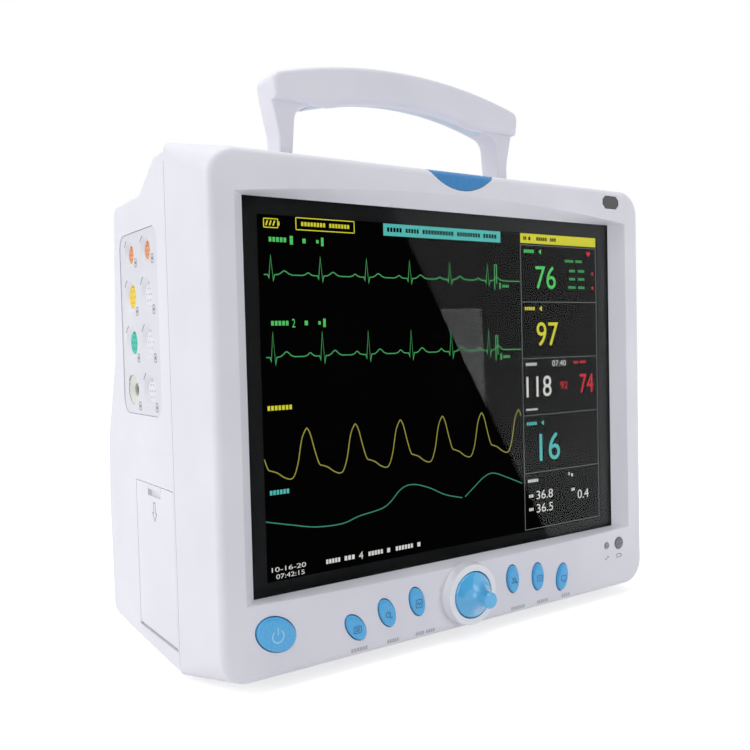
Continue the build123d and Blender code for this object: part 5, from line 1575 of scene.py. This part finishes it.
@dataclass
class SideDoors:
    """The battery door with its latch on the left, and the chart recorder on the right."""

    arrow_mm: float = 0.4
    arrow_drop_mm: float = 11.5
    arrow_long_mm: float = 10
    arrow_head_mm: float = 4.3
    arrow_wide_mm: float = 2.4
    crease_drop_mm: float = 15.3
    crease_half_mm: float = 0.3
    crease_y_mm: Point = (-19.0, 54.0)
    root_mm: float = -0.1
    tooth_count: int = 34
    strip_end_mm: float = 3.0
    strip_rise_mm: float = 0.25

    def build(self) -> None:
        """Dresses both doors, what they hold and their hinges."""
        dress("battery_door", CASE_PLASTIC, 0.3)
        dress("battery_latch", CASE_PLASTIC)
        dress("battery_bay", BLACK_NYLON)
        dress("battery_pack", SHRINK_SLEEVE)
        dress("recorder_door", CASE_PLASTIC, 0.3)
        dress("recorder_release", KEY_PLASTIC)
        dress("recorder_housing", BLACK_NYLON)
        dress("recorder_platen", NITRILE)
        dress("paper_roll", CHART_PAPER)
        dress("print_head", GROUND_STEEL)
        for pin in ("battery_hinge_pin", "recorder_hinge_pin"):
            dress(pin, GROUND_STEEL)
        self.arrow()
        self.latch_ribs()
        self.crease()
        self.tear_edge()
        self.pack_label()

    def arrow(self) -> None:
        """The outlined arrow below the latch that shows the way to slide it."""
        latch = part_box("battery_latch")
        spot = Vector((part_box("battery_door")[0].x, middle_of("battery_latch").y, latch[0].z))
        x, tip = self.arrow_wide_mm, -self.arrow_drop_mm - self.arrow_long_mm / 2
        neck, tail = tip + self.arrow_head_mm, tip + self.arrow_long_mm
        stem, barb = x * 0.55, x * 1.35
        left = [(-stem, tail), (-stem, neck), (-barb, neck)]
        right = [(barb, neck), (stem, neck), (stem, tail)]
        line = [*left, (0, tip), *right]
        shape = Shape(Side.LEFT.bench(spot)).ribbon(line, self.arrow_mm, 0.08, self.root_mm, closed=True)
        shape.piece("latch_arrow", GREY_PRINT, "case_plastic", "battery_lid")

    def latch_ribs(self) -> None:
        """Two fine grip ribs across the latch."""
        low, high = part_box("battery_latch")
        bench = Side.LEFT.bench(Vector((low.x, (low.y + high.y) / 2, low.z)))
        half = (high.y - low.y) / 2 / MM - 2.4
        ribs = Shape(bench)
        for i in range(2):
            ribs.bar((-half, half), (1.2 + 1.0 * i, 1.6 + 1.0 * i), 0.12, self.root_mm)
        ribs.piece("latch_ribs", CASE_PLASTIC, "case_plastic", "battery_catch")

    def crease(self) -> None:
        """The shallow moulded line between the sockets and the battery door."""
        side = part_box("rear_case")[0].x
        bench = Side.LEFT.bench(Vector((side, 0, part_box("connector_panel")[0].z)))
        ends = (-self.crease_y_mm[1], -self.crease_y_mm[0])
        middle, half = -self.crease_drop_mm, self.crease_half_mm
        shape = Shape(bench).bar(ends, (middle - half, middle + half), 0.14, self.root_mm)
        shape.piece("side_crease", CASE_PLASTIC, "case_plastic")

    def tear_edge(self) -> None:
        """The saw-toothed strip along the top of the recorder door, and the four grip bars below it."""
        low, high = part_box("recorder_door")
        bench = Side.RIGHT.bench(Vector((high.x, (low.y + high.y) / 2, high.z)))
        half = (high.y - low.y) / 2 / MM - self.strip_end_mm
        teeth = Shape(bench)
        pitch = 2 * half / self.tooth_count
        for i in range(self.tooth_count):
            x = -half + i * pitch
            tooth = [(x, -2.2), (x + pitch, -2.2), (x + pitch / 2, -0.9)]
            teeth.prism(tooth, self.root_mm, self.strip_rise_mm)
        teeth.bar((-half, half), (-3.6, -2.2), self.strip_rise_mm, self.root_mm)
        teeth.piece("recorder_tear_strip", GROUND_STEEL, "steel", "recorder_lid")
        grip = Shape(bench)
        for i in range(4):
            bar = rounded_box((-11, 11), (-62.6 + 2.2 * i, -61.6 + 2.2 * i), 0.45)
            grip.prism(bar, self.root_mm, 0.35)
        grip.piece("recorder_door_grip", CASE_PLASTIC, "case_plastic", "recorder_lid")

    def pack_label(self) -> None:
        """The label panel and the pull ribbon on the battery, seen with its door open."""
        low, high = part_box("battery_pack")
        bench = Side.LEFT.bench(Vector((low.x, (low.y + high.y) / 2, (low.z + high.z) / 2)))
        panel = Shape(bench).prism(rounded_box((-18, 18), (-24, 24), 2.0), -0.05, 0.12)
        panel.piece("battery_pack_panel", LABEL_FILM, "cell_wrap")
        pull = Shape(bench).prism(rounded_box((-5, 5), (-14, 14), 1.0), 0.1, 0.3)
        pull.piece("battery_pull_ribbon", PULL_RIBBON, "cell_wrap")


# ---- Case, handle and back --------------------------------------------------------------------------------
@dataclass
class CaseAndHandle:
    """The two case halves, the handle, the feet and what the case holds."""

    edge_mm: float = 0.35
    groove_shade_mm: float = 0.9
    groove_shade_proud_mm: float = 0.7
    groove_shade_root_mm: float = -1.2
    corner_mm: float = 6.0
    lip_mm: float = 0.9
    lip_span_mm: Point = (1.3, 1.9)

    def build(self) -> None:
        """Dresses the large mouldings and the hidden boards."""
        self.painted_groove_shade()
        dress("front_bezel", BEZEL_PLASTIC, self.edge_mm)
        dress("rear_case", CASE_PLASTIC, self.edge_mm)
        dress("handle_shell", BEZEL_PLASTIC, 0.4)
        dress("handle_insert", GRIP_STRIP_PALE_BLUE, 0.3)
        dress("screen_glass", SCREEN_GLASS)
        dress("lcd_panel", DISPLAY_MASK)
        for node in ("lcd_bracket", "chassis_plate", "encoder_body"):
            dress(node, ZINC_STEEL)
        for node in ("keypad_board", "parameter_module", "main_board", "power_supply_board"):
            dress(node, SOLDER_MASK)
        dress("encoder_shaft", TURNED_BRASS)
        dress("encoder_plunger", GROUND_STEEL)
        dress("speaker", BLACK_NYLON)
        for end in ("front", "rear"):
            for side in ("left", "right"):
                node = f"foot_{end}_{side}"
                dress(node, FOOT_RUBBER)
                self.foot_ring(node)

    def painted_groove_shade(self) -> None:
        """A grey strip of painted shade in the groove between bezel and case, along both sides and the top.
        """
        low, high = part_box("rear_case")
        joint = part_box("front_bezel")[1].y
        tall = (high.z - low.z) / MM - self.corner_mm
        for name, side, x in (("left", Side.LEFT, low.x), ("right", Side.RIGHT, high.x)):
            bench = side.bench(Vector((x, joint, low.z)))
            ahead = (-self.groove_shade_mm, 0.0) if side is Side.LEFT else (0.0, self.groove_shade_mm)
            strip = Shape(bench).bar(
                ahead, (self.corner_mm, tall), self.groove_shade_proud_mm, self.groove_shade_root_mm
            )
            strip.piece(f"case_painted_groove_shade_{name}", GROOVE_SHADE_STRIP, "rubber_dark")
        top = Bench(Vector((low.x, joint, high.z)), Vector((1, 0, 0)), Vector((0, 1, 0)))
        wide = (high.x - low.x) / MM - self.corner_mm
        strip = Shape(top).bar(
            (self.corner_mm, wide), (0.0, self.groove_shade_mm), self.groove_shade_proud_mm, self.groove_shade_root_mm
        )
        strip.piece("case_painted_groove_shade_top", GROOVE_SHADE_STRIP, "rubber_dark")

    def foot_ring(self, node: str) -> None:
        """Adds the moulded lip round a foot, just above its sole.

        Args:
            node: The foot.
        """
        low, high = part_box(node)
        sole = Vector(((low.x + high.x) / 2, (low.y + high.y) / 2, low.z))
        bench = Bench(sole, Vector((1, 0, 0)), Vector((0, 1, 0)))
        radius = (high.x - low.x) / 2 / MM
        foot, top = self.lip_span_mm
        lip = Shape(bench).ring((0, 0), radius - 0.35, self.lip_mm, top, foot)
        lip.piece(f"{node}_lip", FOOT_RUBBER, "rubber_dark", smooth=True)


@dataclass
class RearDetail:
    """The connector plate at the back: its sockets, earth nut, contacts and screws."""

    nut_radius_mm: float = 4.05
    nut_wall_mm: float = 1.9
    thread_mm: float = 2.95
    thread_turns: int = 5
    spring_count: int = 8
    spring_pitch_mm: float = 1.02
    blade_half_mm: Point = (1.05, 2.05)
    inlet_screw_mm: float = 18.2
    corner_screw_mm: float = 7.5

    def build(self) -> None:
        """Dresses the rear connectors and adds their small parts."""
        dress("rear_panel", ZINC_STEEL, 0.2)
        dress("mains_inlet", BLACK_NYLON, 0.25)
        dress("fuse_holder", BLACK_NYLON, 0.25)
        dress("ground_stud", TURNED_BRASS)
        dress("network_socket", ZINC_STEEL)
        dress("case_screws", GROUND_STEEL)
        self.ground_nut()
        self.network_contacts()
        self.blade_tips()
        self.flange_screws()

    def back_bench(self, node: str) -> Bench:
        """Finds the connector plate's face behind a node's middle.

        Args:
            node: The CAD node.

        Returns:
            A drawing plane on the plate.
        """
        spot = middle_of(node)
        spot.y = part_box("rear_panel")[1].y
        return Side.BACK.bench(spot)

    def ground_nut(self) -> None:
        """A serrated washer and a hexagon nut on the earth stud, and its rolled thread."""
        bench = self.back_bench("ground_stud")
        washer = Shape(bench).ring((0, 0), 4.5, 2.9, 0.6)
        washer.piece("ground_washer", GROUND_STEEL, "steel", smooth=True)
        nut = Shape(bench)
        size = self.nut_radius_mm
        turns = [math.radians(60 * i) for i in range(6)]
        ring = [(size * math.cos(a), size * math.sin(a)) for a in turns]
        nut.ribbon(ring, self.nut_wall_mm, 3.0, 0.6, closed=True)
        nut.piece("ground_nut", TURNED_BRASS, "brass")
        thread = Shape(bench)
        for i in range(self.thread_turns):
            thread.ring((0, 0), self.thread_mm, 0.25, 3.45 + 0.4 * i, 3.25 + 0.4 * i)
        thread.piece("ground_thread", TURNED_BRASS, "brass", smooth=True)

    def network_contacts(self) -> None:
        """Eight gold springs in the roof of the network socket and its two small lamps."""
        spot = middle_of("network_socket")
        spot.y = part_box("network_socket")[1].y
        mouth = Side.BACK.bench(spot)
        springs = Shape(mouth)
        for i in range(self.spring_count):
            x = (i - 3.5) * self.spring_pitch_mm
            springs.bar((x - 0.2, x + 0.2), (3.3, 3.75), -3.0, -12.0)
        springs.piece("network_contacts", GOLD_CONTACT, "brass")
        lamps = Shape(mouth)
        for x in (-6.6, 6.6):
            lamps.bar((x - 0.9, x + 0.9), (4.9, 6.3), 0.15, -0.2)
        lamps.piece("network_lamps", MAINS_LENS, "green_lens")

    def blade_tips(self) -> None:
        """Nickelled faces on the mains inlet's blades."""
        blades = Shape(self.back_bench("mains_inlet"))
        wide, tall = self.blade_half_mm
        for x, z in ((7.0, -2.0), (-7.0, -2.0), (0.0, 2.0)):
            blades.bar((x - wide, x + wide), (z - tall, z + tall), -2.9, -13.0)
        blades.piece("mains_blades", GROUND_STEEL, "steel")

    def flange_screws(self) -> None:
        """The two countersunk screws of the mains inlet's flange and four in the plate's corners."""
        inlet = self.back_bench("mains_inlet")
        lift = (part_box("mains_inlet")[1].y - inlet.origin.y) / MM
        heads = Shape(inlet)
        for x in (-self.inlet_screw_mm, self.inlet_screw_mm):
            heads.disc((x, 0), 2.6, lift + 0.35, lift - 0.2)
        heads.piece("inlet_screws", GROUND_STEEL, "steel", smooth=True)
        low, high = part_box("rear_panel")
        half = (high.x - low.x) / 2 / MM - self.corner_screw_mm
        tall = (high.z - low.z) / 2 / MM - self.corner_screw_mm
        plate = Shape(self.back_bench("rear_panel"))
        for x in (-half, half):
            for z in (-tall, tall):
                plate.disc((x, z), 2.4, 0.9, -0.1)
        plate.piece("plate_screws", GROUND_STEEL, "steel", smooth=True)


# ---- Studio -----------------------------------------------------------------------------------------------
@dataclass
class Studio:
    """The plain pale studio: camera, floor, white surround, soft lamps and a black card."""

    eye_mm: tuple[float, float, float] = (-311.7, -379.9, 27.0)
    heading_deg: float = 33.938
    pitch_deg: float = -2.164
    roll_deg: float = -1.405
    lens_mm: float = 40.6
    sensor_mm: float = 36.0
    ambient: float = 0.5
    floor_glow: float = 0.62
    floor_tone: float = 0.8
    floor_reach: float = 6.0
    card_ahead: float = 0.140

    def build(self) -> None:
        """Makes the camera, the floor, the surround, the lamps and the card."""
        self.camera()
        self.floor()
        self.surround()
        self.lamps()
        self.flag()

    def camera(self) -> None:
        """A camera in front and to the left, placed from the middle of the screen glass."""
        origin = middle_of("lcd_panel")
        origin.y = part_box("screen_glass")[0].y
        yaw, pitch, roll = (math.radians(a) for a in (self.heading_deg, self.pitch_deg, self.roll_deg))
        ahead = Vector((math.sin(yaw) * math.cos(pitch), math.cos(yaw) * math.cos(pitch), math.sin(pitch)))
        right = Vector((math.cos(yaw), -math.sin(yaw), 0))
        up = right.cross(ahead)
        across = math.cos(roll) * right + math.sin(roll) * up
        above = math.cos(roll) * up - math.sin(roll) * right
        data = bpy.data.cameras.new("camera")
        data.lens = self.lens_mm
        data.sensor_width = self.sensor_mm
        data.clip_start = 0.01
        camera = shown_object("camera", data)
        turn = Matrix((across, above, -ahead)).transposed().to_4x4()
        camera.matrix_world = Matrix.Translation(origin + Vector(self.eye_mm) * MM) @ turn
        bpy.context.scene.camera = camera

    @staticmethod
    def seen_white(tree: bpy.types.NodeTree) -> bpy.types.NodeSocket:
        """Tells the rays that show a background from those that light the object.

        Args:
            tree: The node tree that gets the nodes.

        Returns:
            A socket that is 1 for camera, glossy and transmission rays, and 0 for the rest.
        """
        path = add_node(tree, "ShaderNodeLightPath")
        both = add_node(
            tree, "ShaderNodeMath", {"operation": "MAXIMUM"},
            {0: path.outputs["Is Camera Ray"], 1: path.outputs["Is Glossy Ray"]},
        )
        return add_node(
            tree, "ShaderNodeMath", {"operation": "MAXIMUM"},
            {0: both.outputs[0], 1: path.outputs["Is Transmission Ray"]},
        ).outputs[0]

    def floor(self) -> None:
        """A wide pale floor that stays white where it is seen and keeps the object's shadow."""
        reach = self.floor_reach
        corners = [(-reach, -reach, 0), (reach, -reach, 0), (reach, reach, 0), (-reach, reach, 0)]
        data = bpy.data.meshes.new("floor")
        data.from_pydata(corners, [], [(0, 1, 2, 3)])
        floor = shown_object("floor", data)
        made = blank_material("studio_floor_paint")
        tree = made.node_tree
        paint = add_node(tree, "ShaderNodeBsdfDiffuse", {"Color": (*[self.floor_tone] * 3, 1)})
        settings = {"operation": "MULTIPLY", 1: self.floor_glow}
        share = add_node(tree, "ShaderNodeMath", settings, {0: self.seen_white(tree)})
        glow = add_node(tree, "ShaderNodeEmission", {"Color": (1, 1, 1, 1)}, {"Strength": share.outputs[0]})
        both = add_node(tree, "ShaderNodeAddShader", {}, {0: paint.outputs[0], 1: glow.outputs[0]})
        add_node(tree, "ShaderNodeOutputMaterial", links={"Surface": both.outputs[0]})
        data.materials.append(made)

    def surround(self) -> None:
        """A surround that is seen white and lights the object at a lower, plain level."""
        world = bpy.data.worlds.new("studio")
        bpy.context.scene.world = world
        world.use_nodes = True
        tree = world.node_tree
        tree.nodes.clear()
        cool = {"Color": (0.96, 0.97, 1.0, 1), "Strength": self.ambient}
        plain = add_node(tree, "ShaderNodeBackground", cool)
        white = add_node(tree, "ShaderNodeBackground", {"Color": (1, 1, 1, 1), "Strength": 1.0})
        links = {0: self.seen_white(tree), 1: plain.outputs[0], 2: white.outputs[0]}
        both = add_node(tree, "ShaderNodeMixShader", {}, links)
        add_node(tree, "ShaderNodeOutputWorld", links={"Surface": both.outputs[0]})

    def lamps(self) -> None:
        """Large soft lamps from the left and above, a weak one in front and a small low one at the right."""
        aim = middle_of("rear_case")
        for name, spot, size, power in (
            ("left_softbox", (-1.5, 0.17, 0.75), 1.1, 9.0),
            ("front_softbox", (0.5, -1.8, 0.6), 1.0, 0.3),
            ("top_softbox", (-0.2, 0.08, 1.8), 1.4, 13.0),
            ("low_right_softbox", (0.45, -0.8, 0.05), 0.35, 2.2),
        ):
            data = bpy.data.lights.new(name, "AREA")
            data.size = size
            data.energy = power
            lamp = shown_object(name, data)
            # The low lamp only fills: a glossy ray that met it would show its square in the screen.
            lamp.visible_glossy = name != "low_right_softbox"
            lamp.location = Vector(spot)
            lamp.rotation_euler = (aim - Vector(spot)).to_track_quat("-Z", "Y").to_euler()

    def flag(self) -> None:
        """A black card that stands in front of the glass and is seen only in its reflection."""
        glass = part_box("screen_glass")[0].y
        base = middle_of("lcd_panel").z
        corners = ((-140, 0), (-140, base / MM + 134), (59, base / MM + 128), (217, 0))
        data = bpy.data.meshes.new("black_flag")
        spots = [(x * MM, glass - self.card_ahead, z * MM) for x, z in corners]
        data.from_pydata(spots, [], [(0, 1, 2, 3)])
        flag = shown_object("black_flag", data)
        made = blank_material("studio_black_card")
        tree = made.node_tree
        dark = add_node(tree, "ShaderNodeEmission", {"Color": (0.004, 0.004, 0.0045, 1), "Strength": 1.0})
        add_node(tree, "ShaderNodeOutputMaterial", links={"Surface": dark.outputs[0]})
        data.materials.append(made)
        for ray in ("camera", "diffuse", "shadow", "volume_scatter"):
            setattr(flag, f"visible_{ray}", False)


def main() -> None:
    """Builds and dresses the monitor and its studio."""
    logging.basicConfig(level=logging.INFO, format="%(name)s %(message)s")
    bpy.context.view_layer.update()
    bpy.context.scene.view_settings.view_transform = "Standard"
    groups = (
        Studio(), CaseAndHandle(), Picture(), FrontControls(), PatientSockets(), SideDoors(), RearDetail(),
    )
    for group in groups:
        group.build()
        LOG.info("%s built", type(group).__name__)


if __name__ == "__main__":
    main()
